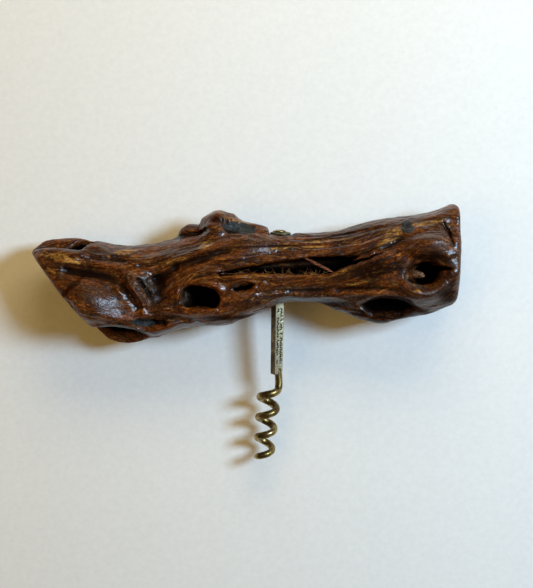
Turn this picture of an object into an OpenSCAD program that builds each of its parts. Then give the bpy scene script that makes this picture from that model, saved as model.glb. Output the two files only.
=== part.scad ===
// Vine-root corkscrew: a straight-pull worm riveted through a gnarled, varnished root handle.
// The corkscrew lies on its back: +X runs along the handle, +Z is up off the table and the worm
// points towards -Y, dipping a little towards the table. The origin is where the line of the
// bore crosses the middle of the handle.

/* [Handle] */
// X of the square-sawn right end
end_x = 75.0; // [74:0.2:78]
// Radius worn around the rim of the right end
end_round = 2.4; // [0.8:0.2:3]
// Angle of the oblique saw cut at the left end, from straight across
cut_angle = 43; // [38:1:48]
// X at which the oblique cut crosses the line y = 0
cut_x = -98.8; // [-101:0.2:-96]
// How square the root's cross-section is (2 is an ellipse)
squareness = 2.25; // [2:0.05:2.6]

/* [Bore and rivet] */
// Diameter of the bore that takes the square shank
bore_d = 6.0; // [5.9:0.1:7]
// Diameter of the narrow bore that takes the tang
tang_bore_d = 3.5; // [3.4:0.1:4]
// Diameter of the round tang
tang_d = 3.2; // [2.8:0.1:3.2]
// Height of the washer's seat above the origin, along the bore
seat_h = 15.1; // [14.6:0.1:15.4]
// Outside diameter of the washer
washer_d = 8.6; // [7.6:0.1:9]
// Diameter of the hole in the washer
washer_hole_d = 4.8; // [4.6:0.1:5]
// Thickness of the washer at its edge
washer_t = 0.8; // [0.6:0.1:1.2]
// Sideways shift of the washer on the tang
washer_shift = 0.6; // [0:0.1:0.6]

/* [Worm] */
// How far the worm dips below level
shank_dip = 7; // [0:1:10]
// Turn of the square shank about its own line
shank_turn = 29; // [0:1:44]
// Side of the square shank where it leaves the handle
shank_w = 4.1; // [3.6:0.1:4.1]
// Side of the square shank at its lower end
shank_end_w = 3.6; // [3.4:0.1:4.1]
// Distance from the origin to the shank's shoulder
shoulder_v = 44.5; // [40:0.1:48]
// Diameter of the worm's wire
wire_d = 3.0; // [2.4:0.1:3.2]
// Diameter of the wire just before the point
wire_end_d = 2.5; // [2:0.1:2.8]
// Radius of the coil, to the middle of the wire
coil_r = 3.7; // [3.2:0.1:4.2]
// Radius of the coil at the point
coil_end_r = 3.3; // [2.8:0.1:4]
// Rise of one turn
pitch = 8.75; // [7.5:0.05:9.5]
// Number of turns
turns = 3.5; // [3:0.25:4.5]
// Lean of the coil to the left
coil_lean = 3.9; // [0:0.1:6]

/* [Sliver and knots] */
// Thickness of the sliver that bridges the split
sliver_d = 1.5; // [1:0.1:2]
// Diameter of the dead knot in the upper strand
knot_d = 4.0; // [3:0.1:5]
// Gap around pieces that sit in the wood
seat_gap = 0.08; // [0.05:0.01:0.15]

/* [Hidden] */
left_x = -108;
ring_count = 84;
ring_points = 44;

// The root, station by station: x, then the highest and lowest y, then the front and back z.
ROOT = [
    [-108, 5.0, -12.0, 7.5, -11.0],
    [-97, 10.4, -20.0, 10.5, -14.0],
    [-88, 12.4, -24.5, 12.0, -16.0],
    [-77, 10.9, -27.5, 13.0, -17.0],
    [-66, 9.0, -31.2, 13.0, -17.0],
    [-54, 9.6, -28.6, 12.5, -15.5],
    [-43, 11.4, -24.8, 13.5, -14.2],
    [-33, 14.0, -24.0, 15.0, -14.2],
    [-20, 17.6, -22.8, 15.0, -14.0],
    [-8, 17.4, -18.7, 14.5, -13.5],
    [4, 15.6, -14.0, 13.5, -13.2],
    [16, 15.6, -13.4, 13.5, -13.2],
    [28, 17.5, -17.0, 14.0, -14.5],
    [40, 21.0, -21.0, 15.5, -16.0],
    [52, 22.9, -20.6, 16.5, -17.0],
    [64, 25.2, -17.0, 16.5, -17.0],
    [72, 28.8, -13.6, 16.0, -16.5],
    [78, 29.4, -11.6, 15.5, -16.0]
];

// Lumps and hollows of the root: centre, spread along x, y and z, and height (minus is a hollow).
LUMPS = [
    [[-27, 19, 4], [5.8, 10, 8], 7.2],          // top knob
    [[-16, 18, 5], [9, 6, 7], 1.8],             // ridge that falls away from the knob
    [[-38, 14, -5], [4.6, 9, 7], 4.8],          // smaller knob behind it
    [[-91, 11, 1], [9, 5, 4], -6.5],            // valley between the two upper rims
    [[-64, -26, 5], [9, 5, 3.4], -5.0],         // undercut between petal and toe
    [[-78, -14, 13], [11, 7, 6], 2.4],          // petal-shaped facet of the cut end
    [[-72, -2, 13], [14, 3.4, 6], -1.8],        // furrow above the petal
    [[-59, -8, 12.5], [3.6, 7, 5], 2.6],        // gnarl on the front
    [[-43, -4, 14], [10, 4.5, 6], -2.2],        // lower part of the twisting furrow
    [[-29, 2, 15], [8, 3.4, 6], -1.6],          // upper part of the twisting furrow
    [[63, 11, 16], [10, 5, 6], 2.2],            // upper lip of the knot hole
    [[60, -9, 14], [10, 4, 6], 2.0],            // lower lip of the knot hole
    [[71.5, 18, 12], [2.8, 7, 7], -2.4],        // furrow behind the rim
    [[-50, 2, -14], [12, 9, 6], -2.2],          // hollow on the back, left
    [[22, -4, -14], [12, 10, 6], -2.4],         // hollow on the back, right
    [[-10, 10, -13], [10, 6, 6], 2.0],          // swelling on the back
    [[-78, -6, -16], [12, 6, 6], 1.8],          // swelling on the back of the cut end
    [[46, -12, -15], [12, 6, 6], 1.4]           // swelling on the back of the right end
];

// Strands that wind round the root: how many, twist in degrees per mm, phase and height.
STRANDS = [[5, 1.3, 40, 0.45], [9, -1.7, 100, 0.3], [3, 0.5, 200, 0.4]];

// The long split: x, middle y and half width.
SPLIT = [
    [-24, -2.0, 0.3],
    [-14, -0.6, 1.3],
    [0, 1.6, 1.9],
    [14, 3.2, 2.4],
    [26, 4.4, 1.9],
    [39, 7.0, 0.4]
];
split_depth = 8;

// Ends of the sliver, a little inside both walls of the split.
SLIVER = [[10.2, 6.6, 12.2], [23.9, -0.4, 12.0]];

// The dead knot in the upper strand: station, angle round the root and depth.
KNOT = [53.2, 53, 6];

// The stub of a twig in the knot hole, from inside the wood to its broken end.
STUB = [[50.5, -1.8, 5.0], [59.6, -1.3, 10.4]];
stub_d = 3.6;

// Bark left in hollows: station, angle round the root, half length, half width and turn.
BARK = [[-16.4, 66, 6.8, 3.2, 4], [-55.5, 318, 4.4, 2.0, -12]];
bark_t = 2.2;

// --- Smooth values between stations ---

function span(table, x, i = 0) =
    i >= len(table) - 2 || x < table[i + 1][0] ? i : span(table, x, i + 1);

function slope(table, i, column) =
    let (before = max(i - 1, 0), after = min(i + 1, len(table) - 1))
    (table[after][column] - table[before][column]) / (table[after][0] - table[before][0]);

function blend(a, slope_a, b, slope_b, t) =
    a * (2 * t ^ 3 - 3 * t ^ 2 + 1) + slope_a * (t ^ 3 - 2 * t ^ 2 + t)
    + b * (3 * t ^ 2 - 2 * t ^ 3) + slope_b * (t ^ 3 - t ^ 2);

function at(table, x, column) =
    let (i = span(table, x), a = table[i], b = table[i + 1], step = b[0] - a[0])
    blend(a[column], slope(table, i, column) * step,
          b[column], slope(table, i + 1, column) * step, (x - a[0]) / step);

function unit(v) = v / norm(v);

// --- Handle ---

function total(values) = values * [for (value = values) 1];

// A lump has a broad rounded top, then falls away quickly.
function lump_height(p) = total([
    for (lump = LUMPS)
        let (d = p - lump[0], s = lump[1],
             reach = (d[0] / s[0]) ^ 2 + (d[1] / s[1]) ^ 2 + (d[2] / s[2]) ^ 2)
        lump[2] * exp(-reach ^ 1.4)
]);

function strand_height(x, a) = total([
    for (strand = STRANDS)
        strand[3] * sin(strand[0] * a + strand[1] * x + strand[2])
]);

function power_wave(value) = sign(value) * abs(value) ^ (2 / squareness);

// How far the rim draws in close to the sawn end.
function rim_inset(x) =
    let (d = max(0, x - (end_x - end_round)))
    end_round - sqrt(max(0, end_round ^ 2 - d ^ 2));

// One point of the root's skin: x is the station and a runs from the front over the top.
function skin(x, a) =
    let (
        top = at(ROOT, x, 1), bottom = at(ROOT, x, 2),
        front = at(ROOT, x, 3), back = at(ROOT, x, 4),
        middle = [x, (top + bottom) / 2, (front + back) / 2],
        out = [0, (top - bottom) / 2 * power_wave(sin(a)), (front - back) / 2 * power_wave(cos(a))],
        height = lump_height(middle + out) + strand_height(x, a) - rim_inset(x)
    )
    middle + out + unit(out) * height;

// Outward direction of the skin, from two short steps along and round it.
function skin_normal(x, a) = unit(cross(skin(x + 0.5, a) - skin(x - 0.5, a),
                                        skin(x, a + 2) - skin(x, a - 2)));

// Stations are even along the root and close up over the worn rim.
function station(i) =
    let (body_rings = ring_count - 4, rim_x = end_x - end_round)
    i <= body_rings ? left_x + (rim_x - left_x) * i / body_rings
                    : rim_x + end_round * sin(90 * (i - body_rings) / 4.4);

module root_skin() {
    rings = [for (i = [0:ring_count]) for (j = [0:ring_points - 1])
        skin(station(i), 360 * j / ring_points)];
    sides = [for (i = [0:ring_count - 1]) for (j = [0:ring_points - 1])
        let (a = i * ring_points + j, b = i * ring_points + (j + 1) % ring_points)
        each [[a, b, b + ring_points], [a, b + ring_points, a + ring_points]]];
    first = [for (j = [ring_points - 1:-1:0]) j];
    last = [for (j = [0:ring_points - 1]) ring_count * ring_points + j];
    polyhedron(rings, concat(sides, [first, last]));
}

// Everything to the lower left of the oblique saw cut.
module left_offcut() {
    translate([cut_x, 0, 0])
        rotate([0, 0, 180 + cut_angle])
            translate([0, -100, -50])
                cube([60, 200, 100]);
}

// Everything to the right of the square end.
module right_offcut() {
    translate([end_x, -50, -50])
        cube([20, 100, 100]);
}

// Stands children on the line of the bore: local +Z runs up it, towards the washer.
module on_bore() {
    rotate([shank_dip - 90, 0, 0])
        children();
}

module bore() {
    on_bore() {
        translate([0, 0, -40])
            cylinder(h = 40 + seat_h - 7, d = bore_d, $fn = 64);
        cylinder(h = 40, d = tang_bore_d, $fn = 48);
        translate([washer_shift, 0, seat_h])
            cylinder(h = 20, d = washer_d + 1.2, $fn = 64);
    }
}

// The split runs along the grain and is open to the front only.
module split() {
    xs = [for (i = [0:16]) SPLIT[0][0] + (SPLIT[len(SPLIT) - 1][0] - SPLIT[0][0]) * i / 16];
    upper = [for (x = xs) [x, at(SPLIT, x, 1) + at(SPLIT, x, 2)]];
    lower = [for (i = [16:-1:0]) [xs[i], at(SPLIT, xs[i], 1) - at(SPLIT, xs[i], 2)]];
    translate([0, 0, 13.5 - split_depth])
        linear_extrude(height = 20)
            polygon(concat(upper, lower));
}

// A pocket is the hull of two balls sunk into the wood.
module pocket(a, b, r) {
    hull()
        for (p = [a, b])
            translate(p)
                sphere(r = r, $fn = 24);
}

module pockets() {
    pocket([-35.2, -11.8, 11.5], [-28.6, -12.6, 11.5], 5.0);
    pocket([-15.6, -7.8, 14.4], [-12.2, -7.1, 14.4], 2.2);
    pocket([42, -13.2, 13.2], [52, -12.8, 13.2], 3.4);
}

// Knot hole in the right end: a round throat with a flared mouth.
module knot_hole() {
    translate([61.6, -0.6, 0])
        rotate_extrude($fn = 64)
            polygon([[0, 3], [4.4, 4.5], [4.8, 12], [6.2, 14.5], [9.5, 16.5], [9.5, 30], [0, 30]]);
}

// Stands children on the skin of the root, with local +Z pointing out of the wood.
module on_skin(x, a) {
    n = skin_normal(x, a);
    heading = atan2(n[1], n[0]);
    translate(skin(x, a))
        rotate([0, acos(n[2]), heading])
            rotate([0, 0, -heading])
                children();
}

// A round rod between two points; grow makes the socket that it sits in.
module rod(ends, d, grow) {
    run = ends[1] - ends[0];
    translate(ends[0])
        rotate([0, acos(run[2] / norm(run)), atan2(run[1], run[0])])
            translate([0, 0, -grow])
                cylinder(h = norm(run) + 2 * grow, d = d + 2 * grow, $fn = 32);
}

module knot(grow) {
    on_skin(KNOT[0], KNOT[1])
        translate([0, 0, -KNOT[2] - grow])
            cylinder(h = grow > 0 ? KNOT[2] + 10 : KNOT[2] - 0.2, d = knot_d + 2 * grow, $fn = 32);
}

module bark(grow) {
    for (patch = BARK)
        on_skin(patch[0], patch[1])
            rotate([0, 0, patch[4]])
                translate([0, 0, -bark_t - 0.5 - grow])
                    linear_extrude(height = grow > 0 ? bark_t + 10 : bark_t)
                        hull()
                            for (side = [-1, 1])
                                translate([side * (patch[2] - patch[3]), 0])
                                    circle(r = patch[3] + grow, $fn = 32);
}

module handle() {
    color("saddlebrown")
        difference() {
            root_skin();
            left_offcut();
            right_offcut();
            bore();
            split();
            pockets();
            knot_hole();
            rod(SLIVER, sliver_d, seat_gap);
            rod(STUB, stub_d, seat_gap);
            knot(seat_gap);
            bark(seat_gap);
        }
}

// --- Worm: tang, square shank and coil in one forging ---

// Local frame of the worm: z runs from the origin down towards the point, x is to the right
// and y towards the viewer.
shank_top = -seat_h + 7.5;
coil_v = shoulder_v + 5.8;
coil_x = 0.9 - coil_r;
lead_turn = 30;
coil_steps = 24;
wire_points = 10;

function coil_radius(a) = coil_r + (coil_end_r - coil_r) * a / (360 * turns);

function coil_middle(a) =
    let (v = pitch * a / 360)
    [coil_x - v * sin(coil_lean), 0, coil_v + v];

function coil_at(a) = coil_middle(a) + coil_radius(a) * [cos(a), sin(a), 0];

function coil_tangent(a) = unit(coil_at(a + 1) - coil_at(a - 1));

// The lead from the shank into the coil is one smooth bend.
lead_start = [0.64, 0, shoulder_v - 3];
function lead_at(t) =
    blend(lead_start, [0, 0, 9], coil_at(lead_turn), coil_tangent(lead_turn) * 9, t);

function lead_tangent(t) = unit(lead_at(t + 0.01) - lead_at(t - 0.01));

// The wire: middle, tangent, outward direction and radius at each step.
function lead_step(t) = [lead_at(t), lead_tangent(t), [cos(lead_turn * t), sin(lead_turn * t), 0],
                         wire_d / 2];

function coil_step(a) =
    let (left = (360 * turns - a) / 150,
         full = (wire_d + (wire_end_d - wire_d) * a / (360 * turns)) / 2)
    [coil_at(a), coil_tangent(a), [cos(a), sin(a), 0], full * (left >= 1 ? 1 : 0.12 + 0.88 * sqrt(left))];

function wire_ring(step) =
    let (across = unit(step[2] - step[1] * (step[1] * step[2])), up = cross(step[1], across))
    [for (j = [0:wire_points - 1]) let (a = 360 * j / wire_points)
        step[0] + step[3] * (across * cos(a) + up * sin(a))];

module wire() {
    last = ceil((360 * turns - lead_turn) / 360 * coil_steps);
    steps = concat([for (i = [0:7]) lead_step(i / 8)],
                   [for (i = [0:last]) coil_step(lead_turn + (360 * turns - lead_turn) * i / last)]);
    points = [for (step = steps) each wire_ring(step)];
    sides = [for (i = [0:len(steps) - 2]) for (j = [0:wire_points - 1])
        let (a = i * wire_points + j, b = i * wire_points + (j + 1) % wire_points)
        each [[a, b + wire_points, b], [a, a + wire_points, b + wire_points]]];
    first = [for (j = [0:wire_points - 1]) j];
    tip = [for (j = [wire_points - 1:-1:0]) (len(steps) - 1) * wire_points + j];
    polyhedron(points, concat(sides, [first, tip]));
}

module square_shank() {
    length = shoulder_v - shank_top;
    translate([0, 0, shank_top])
        rotate([0, 0, -shank_turn])
            linear_extrude(height = length, scale = shank_end_w / shank_w)
                square(shank_w, center = true);
}

module tang() {
    head_r = 3.2;
    seat_top = seat_h + washer_t + 0.15;
    translate([0, 0, -seat_top - 0.4])
        cylinder(h = seat_top + 0.4 + shank_top + 1, d = tang_d, $fn = 48);
    translate([0.2, 0, -seat_top])
        rotate_extrude($fn = 64)
            polygon([[0, 0], [head_r, 0], [head_r, -0.25], [head_r * 0.8, -0.7],
                     [head_r * 0.45, -0.95], [0, -1.05]]);
}

module worm() {
    color("tan")
        on_bore()
            rotate([180, 0, 0]) {
                tang();
                square_shank();
                wire();
            }
}

// --- Small parts ---

module rivet_washer() {
    outer = washer_d / 2;
    inner = washer_hole_d / 2;
    color("darkgoldenrod")
        on_bore()
            translate([washer_shift, 0, seat_h])
                rotate_extrude($fn = 64)
                    polygon([[inner, 0], [outer, 0], [outer, washer_t * 0.6],
                             [outer - 0.5, washer_t], [inner, washer_t + 0.1]]);
}

module bridging_sliver() {
    color("peru")
        rod(SLIVER, sliver_d, 0);
}

module dead_knots() {
    color("darkslategray") {
        knot(0);
        rod(STUB, stub_d, 0);
    }
}

module bark_remnants() {
    color("dimgray")
        bark(0);
}

handle();
worm();
rivet_washer();
bridging_sliver();
dead_knots();
bark_remnants();
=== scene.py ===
"""Looks for the vine-root corkscrew: the CAD root is sculpted, grained and varnished here.

Shapes are worked in millimetres in the part's own frame: x along the handle, z towards the
viewer. The CAD root becomes a distance field, the field is carved, and the carved wood is meshed.
"""
import math

import bpy
import numpy as np
import openvdb
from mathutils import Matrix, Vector


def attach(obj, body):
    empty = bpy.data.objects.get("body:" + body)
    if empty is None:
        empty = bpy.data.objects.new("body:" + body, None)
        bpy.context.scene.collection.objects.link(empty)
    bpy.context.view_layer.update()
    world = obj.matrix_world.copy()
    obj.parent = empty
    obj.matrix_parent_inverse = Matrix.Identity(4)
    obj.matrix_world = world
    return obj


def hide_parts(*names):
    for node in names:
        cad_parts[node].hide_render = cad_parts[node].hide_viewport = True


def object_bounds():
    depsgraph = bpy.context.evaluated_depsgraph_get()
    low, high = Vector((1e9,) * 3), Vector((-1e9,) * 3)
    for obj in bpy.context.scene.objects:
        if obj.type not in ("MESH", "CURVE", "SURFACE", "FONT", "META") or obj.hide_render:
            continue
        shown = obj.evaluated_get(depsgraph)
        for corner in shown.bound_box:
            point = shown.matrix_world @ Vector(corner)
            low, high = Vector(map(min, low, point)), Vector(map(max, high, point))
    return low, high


MM = 0.001
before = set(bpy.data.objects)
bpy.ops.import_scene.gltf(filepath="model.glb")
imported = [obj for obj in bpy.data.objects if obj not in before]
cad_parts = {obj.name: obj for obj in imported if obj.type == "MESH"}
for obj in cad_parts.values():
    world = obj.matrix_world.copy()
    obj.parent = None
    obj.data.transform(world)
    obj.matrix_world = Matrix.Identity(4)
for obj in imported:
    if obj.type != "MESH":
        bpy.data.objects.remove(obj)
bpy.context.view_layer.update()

# Driving sizes of the sculpted wood, in mm.
CELL = 0.45                       # edge of a cell of the distance field
BAND = 6.3                        # how far from the skin distances are kept
SMOOTH = 1.1                      # softening of the CAD root before it is sculpted
SHANK_DIP = math.radians(7)       # the worm falls away from the viewer by this much
BORE_R = 3.0
SEAT = 15.0                       # height of the washer's seat up the bore
WASHER_X, SEAT_HALF = 0.8, 5.0    # middle and half width of the seat


# --- Small maths ---

def smoothstep(low, high, value):
    t = np.clip((value - low) / (high - low), 0.0, 1.0)
    return t * t * (3.0 - 2.0 * t)


def soft_max(a, b, k):
    """The larger of two fields, with the edge between them rounded over about k."""
    h = np.clip(0.5 + 0.5 * (a - b) / k, 0.0, 1.0)
    return b + (a - b) * h + k * h * (1.0 - h)


def soft_min(a, b, k):
    return -soft_max(-a, -b, k)


def hash_noise(cells, seed):
    """A repeatable random number from 0 to 1 for each whole-number cell."""
    h = cells[..., 0] * np.uint32(374761393)
    h = h + cells[..., 1] * np.uint32(668265263)
    h = h + cells[..., 2] * np.uint32(2147483647)
    h = h + np.uint32(seed * 1013904223 % 4294967291)
    h = (h ^ (h >> np.uint32(13))) * np.uint32(1274126177)
    h = h ^ (h >> np.uint32(16))
    return h.astype(np.float64) / 4294967295.0


def noise(points, seed=0):
    """Smooth noise from -1 to 1 at each point, with cells one unit across."""
    base = np.floor(points)
    t = points - base
    t = t * t * t * (t * (t * 6.0 - 15.0) + 10.0)
    base = base.astype(np.int64).astype(np.uint32)
    total = 0.0
    for corner in range(8):
        step = np.array([corner & 1, corner >> 1 & 1, corner >> 2 & 1], np.uint32)
        share = np.prod(np.where(step > 0, t, 1.0 - t), axis=-1)
        total = total + share * hash_noise(base + step, seed)
    return total * 2.0 - 1.0


def layered_noise(points, seed=0, octaves=3):
    """Noise from -1 to 1 in octaves, each half the size and strength of the one before."""
    total, size, reach = 0.0, 1.0, 0.0
    for octave in range(octaves):
        total = total + size * noise(points * 2.03 ** octave, seed + 17 * octave)
        reach += size
        size *= 0.5
    return total / reach


def curve_through(points, steps=10):
    """A smooth curve through the points, as many short steps."""
    p = np.array(points, float)
    p = np.vstack([2 * p[0] - p[1], p, 2 * p[-1] - p[-2]])
    out = []
    for a, b, c, d in zip(p[:-3], p[1:-2], p[2:-1], p[3:]):
        for t in np.arange(steps) / steps:
            out.append(0.5 * (2 * b + (c - a) * t + (2 * a - 5 * b + 4 * c - d) * t ** 2
                              + (3 * b - a - 3 * c + d) * t ** 3))
    out.append(p[-2])
    return np.array(out)


# --- The distance field of the wood ---

class Clay:
    """A block of wood as a distance field on a regular grid: negative inside, in mm."""

    def __init__(self, node):
        mesh = node.data
        points = np.zeros(len(mesh.vertices) * 3, np.float32)
        mesh.vertices.foreach_get("co", points)
        points = points.reshape(-1, 3) / MM
        mesh.calc_loop_triangles()
        triangles = np.zeros(len(mesh.loop_triangles) * 3, np.int32)
        mesh.loop_triangles.foreach_get("vertices", triangles)
        self.low = np.floor((points.min(0) - 4.0) / CELL).astype(int)
        high = np.ceil((points.max(0) + 4.0) / CELL).astype(int)
        self.shape = tuple(int(n) for n in high - self.low + 1)
        grid = openvdb.FloatGrid.createLevelSetFromPolygons(
            points, triangles=triangles.reshape(-1, 3).astype(np.uint32),
            transform=openvdb.createLinearTransform(voxelSize=CELL), halfWidth=BAND / CELL)
        self.field = np.zeros(self.shape, np.float32)
        grid.copyToArray(self.field, ijk=tuple(int(n) for n in self.low))
        axes = [(self.low[i] + np.arange(self.shape[i])) * CELL for i in range(3)]
        self.x = axes[0][:, None, None].astype(np.float32)
        self.y = axes[1][None, :, None].astype(np.float32)
        self.z = axes[2][None, None, :].astype(np.float32)

    def closed(self, reach, cell=0.9):
        """Distance field of the wood with every hollow narrower than twice reach filled in."""
        grid = openvdb.FloatGrid(BAND)
        grid.transform = openvdb.createLinearTransform(voxelSize=CELL)
        grid.copyFromArray(self.field, ijk=tuple(int(n) for n in self.low))
        points, quads = grid.convertToQuads(isovalue=reach)
        swollen = openvdb.FloatGrid.createLevelSetFromPolygons(
            points, quads=quads, transform=openvdb.createLinearTransform(voxelSize=cell),
            halfWidth=(reach + 8.0) / cell)
        low = np.floor((self.low * CELL - 2.0) / cell).astype(int)
        reached = np.array(self.shape) * CELL + 4.0
        shape = tuple(int(n) for n in np.ceil(reached / cell).astype(int) + 2)
        values = np.zeros(shape, np.float32)
        swollen.copyToArray(values, ijk=tuple(int(n) for n in low))
        return values + reach, low, cell

    def blurred(self, sigma):
        """The field averaged with a bell-shaped brush of that size."""
        reach = int(math.ceil(2.6 * sigma / CELL))
        weights = np.exp(-0.5 * (np.arange(-reach, reach + 1) * CELL / sigma) ** 2)
        weights = (weights / weights.sum()).astype(np.float32)
        out = self.field
        for axis in range(3):
            pad = [(0, 0)] * 3
            pad[axis] = (reach, reach)
            padded = np.pad(out, pad, mode="edge")
            total = np.zeros_like(out)
            for i, weight in enumerate(weights):
                cut = [slice(None)] * 3
                cut[axis] = slice(i, i + out.shape[axis])
                total += weight * padded[tuple(cut)]
            out = total
        return out

    def sample(self, field, points, low=None, cell=CELL):
        """Field values at points, by straight-line blending between grid cells."""
        at = points / cell - (self.low if low is None else low)
        base = np.clip(np.floor(at).astype(int), 0, np.array(field.shape) - 2)
        t = np.clip(at - base, 0.0, 1.0)
        total = 0.0
        for corner in range(8):
            step = np.array([corner & 1, corner >> 1 & 1, corner >> 2 & 1])
            share = np.prod(np.where(step > 0, t, 1.0 - t), axis=1)
            i = base + step
            total = total + share * field[i[:, 0], i[:, 1], i[:, 2]]
        return total

    def to_mesh(self):
        """Vertices and faces of the wood's skin, in mm."""
        grid = openvdb.FloatGrid(BAND)
        grid.transform = openvdb.createLinearTransform(voxelSize=CELL)
        grid.copyFromArray(self.field, ijk=tuple(int(n) for n in self.low))
        points, quads = grid.convertToQuads(isovalue=0.0)
        return points, quads


def map_axes(clay):
    return clay.x[:, :, 0].astype(float), clay.y[:, :, 0].astype(float)


def path_map(clay, points):
    """For each spot of the front view: distance to a curve, side of it, and place along it."""
    mx, my = map_axes(clay)
    curve = curve_through(points)
    best = np.full(clay.shape[:2], 1e9)
    side = np.zeros(clay.shape[:2])
    along = np.zeros(clay.shape[:2])
    count = len(curve) - 1
    for i in range(count):
        a, b = curve[i], curve[i + 1]
        run = b - a
        length = float(run @ run)
        t = np.clip(((mx - a[0]) * run[0] + (my - a[1]) * run[1]) / length, 0.0, 1.0)
        dx = mx - a[0] - t * run[0]
        dy = my - a[1] - t * run[1]
        d = np.hypot(dx, dy)
        near = d < best
        best = np.where(near, d, best)
        side = np.where(near, np.sign(run[0] * dy - run[1] * dx), side)
        along = np.where(near, (i + t) / count, along)
    return best, side, along


def stroke(clay, points, width, height):
    """A rounded ridge (or furrow, if height is below 0) along a curve, fading at its ends."""
    distance, _, along = path_map(clay, points)
    fade = smoothstep(0.0, 0.16, along) * smoothstep(0.0, 0.16, 1.0 - along)
    return height * fade * np.exp(-(distance / width) ** 2)


def lip(clay, points, width, height, sharp):
    """A ridge that falls away gently on its left side and steeply on its right."""
    distance, side, along = path_map(clay, points)
    fade = smoothstep(0.0, 0.12, along) * smoothstep(0.0, 0.12, 1.0 - along)
    spread = np.where(side > 0, width, width * sharp)
    return height * fade * np.exp(-(distance / spread) ** 2)


def outline_distance(clay, points):
    """Signed distance in the front view to a closed smooth outline: negative inside."""
    ring = [points[-1]] + list(points) + [points[0], points[1]]
    curve = curve_through(ring)[10:-10]
    mx, my = map_axes(clay)
    best = np.full(clay.shape[:2], 1e9)
    inside = np.zeros(clay.shape[:2], bool)
    for a, b in zip(curve, np.roll(curve, -1, axis=0)):
        run = b - a
        length = max(float(run @ run), 1e-9)
        t = np.clip(((mx - a[0]) * run[0] + (my - a[1]) * run[1]) / length, 0.0, 1.0)
        best = np.minimum(best, np.hypot(mx - a[0] - t * run[0], my - a[1] - t * run[1]))
        crosses = (a[1] > my) != (b[1] > my)
        rise = run[1] if abs(run[1]) > 1e-9 else 1e-9
        inside ^= crosses & (mx < a[0] + (my - a[1]) * run[0] / rise)
    return np.where(inside, -best, best)


# --- Ridges and furrows of the root's front, as seen from above ---

# The lists are laid out as seen from above. Sight lines draw together towards the viewer, so at
# the depth of the front skin they are drawn in a little towards the middle of the view.
VIEW_MIDDLE = (-4.8, -10.2)
SIGHT = 0.982


def on_front(points):
    middle = np.array(VIEW_MIDDLE)
    return (np.array(points, float) - middle) * SIGHT + middle


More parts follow.
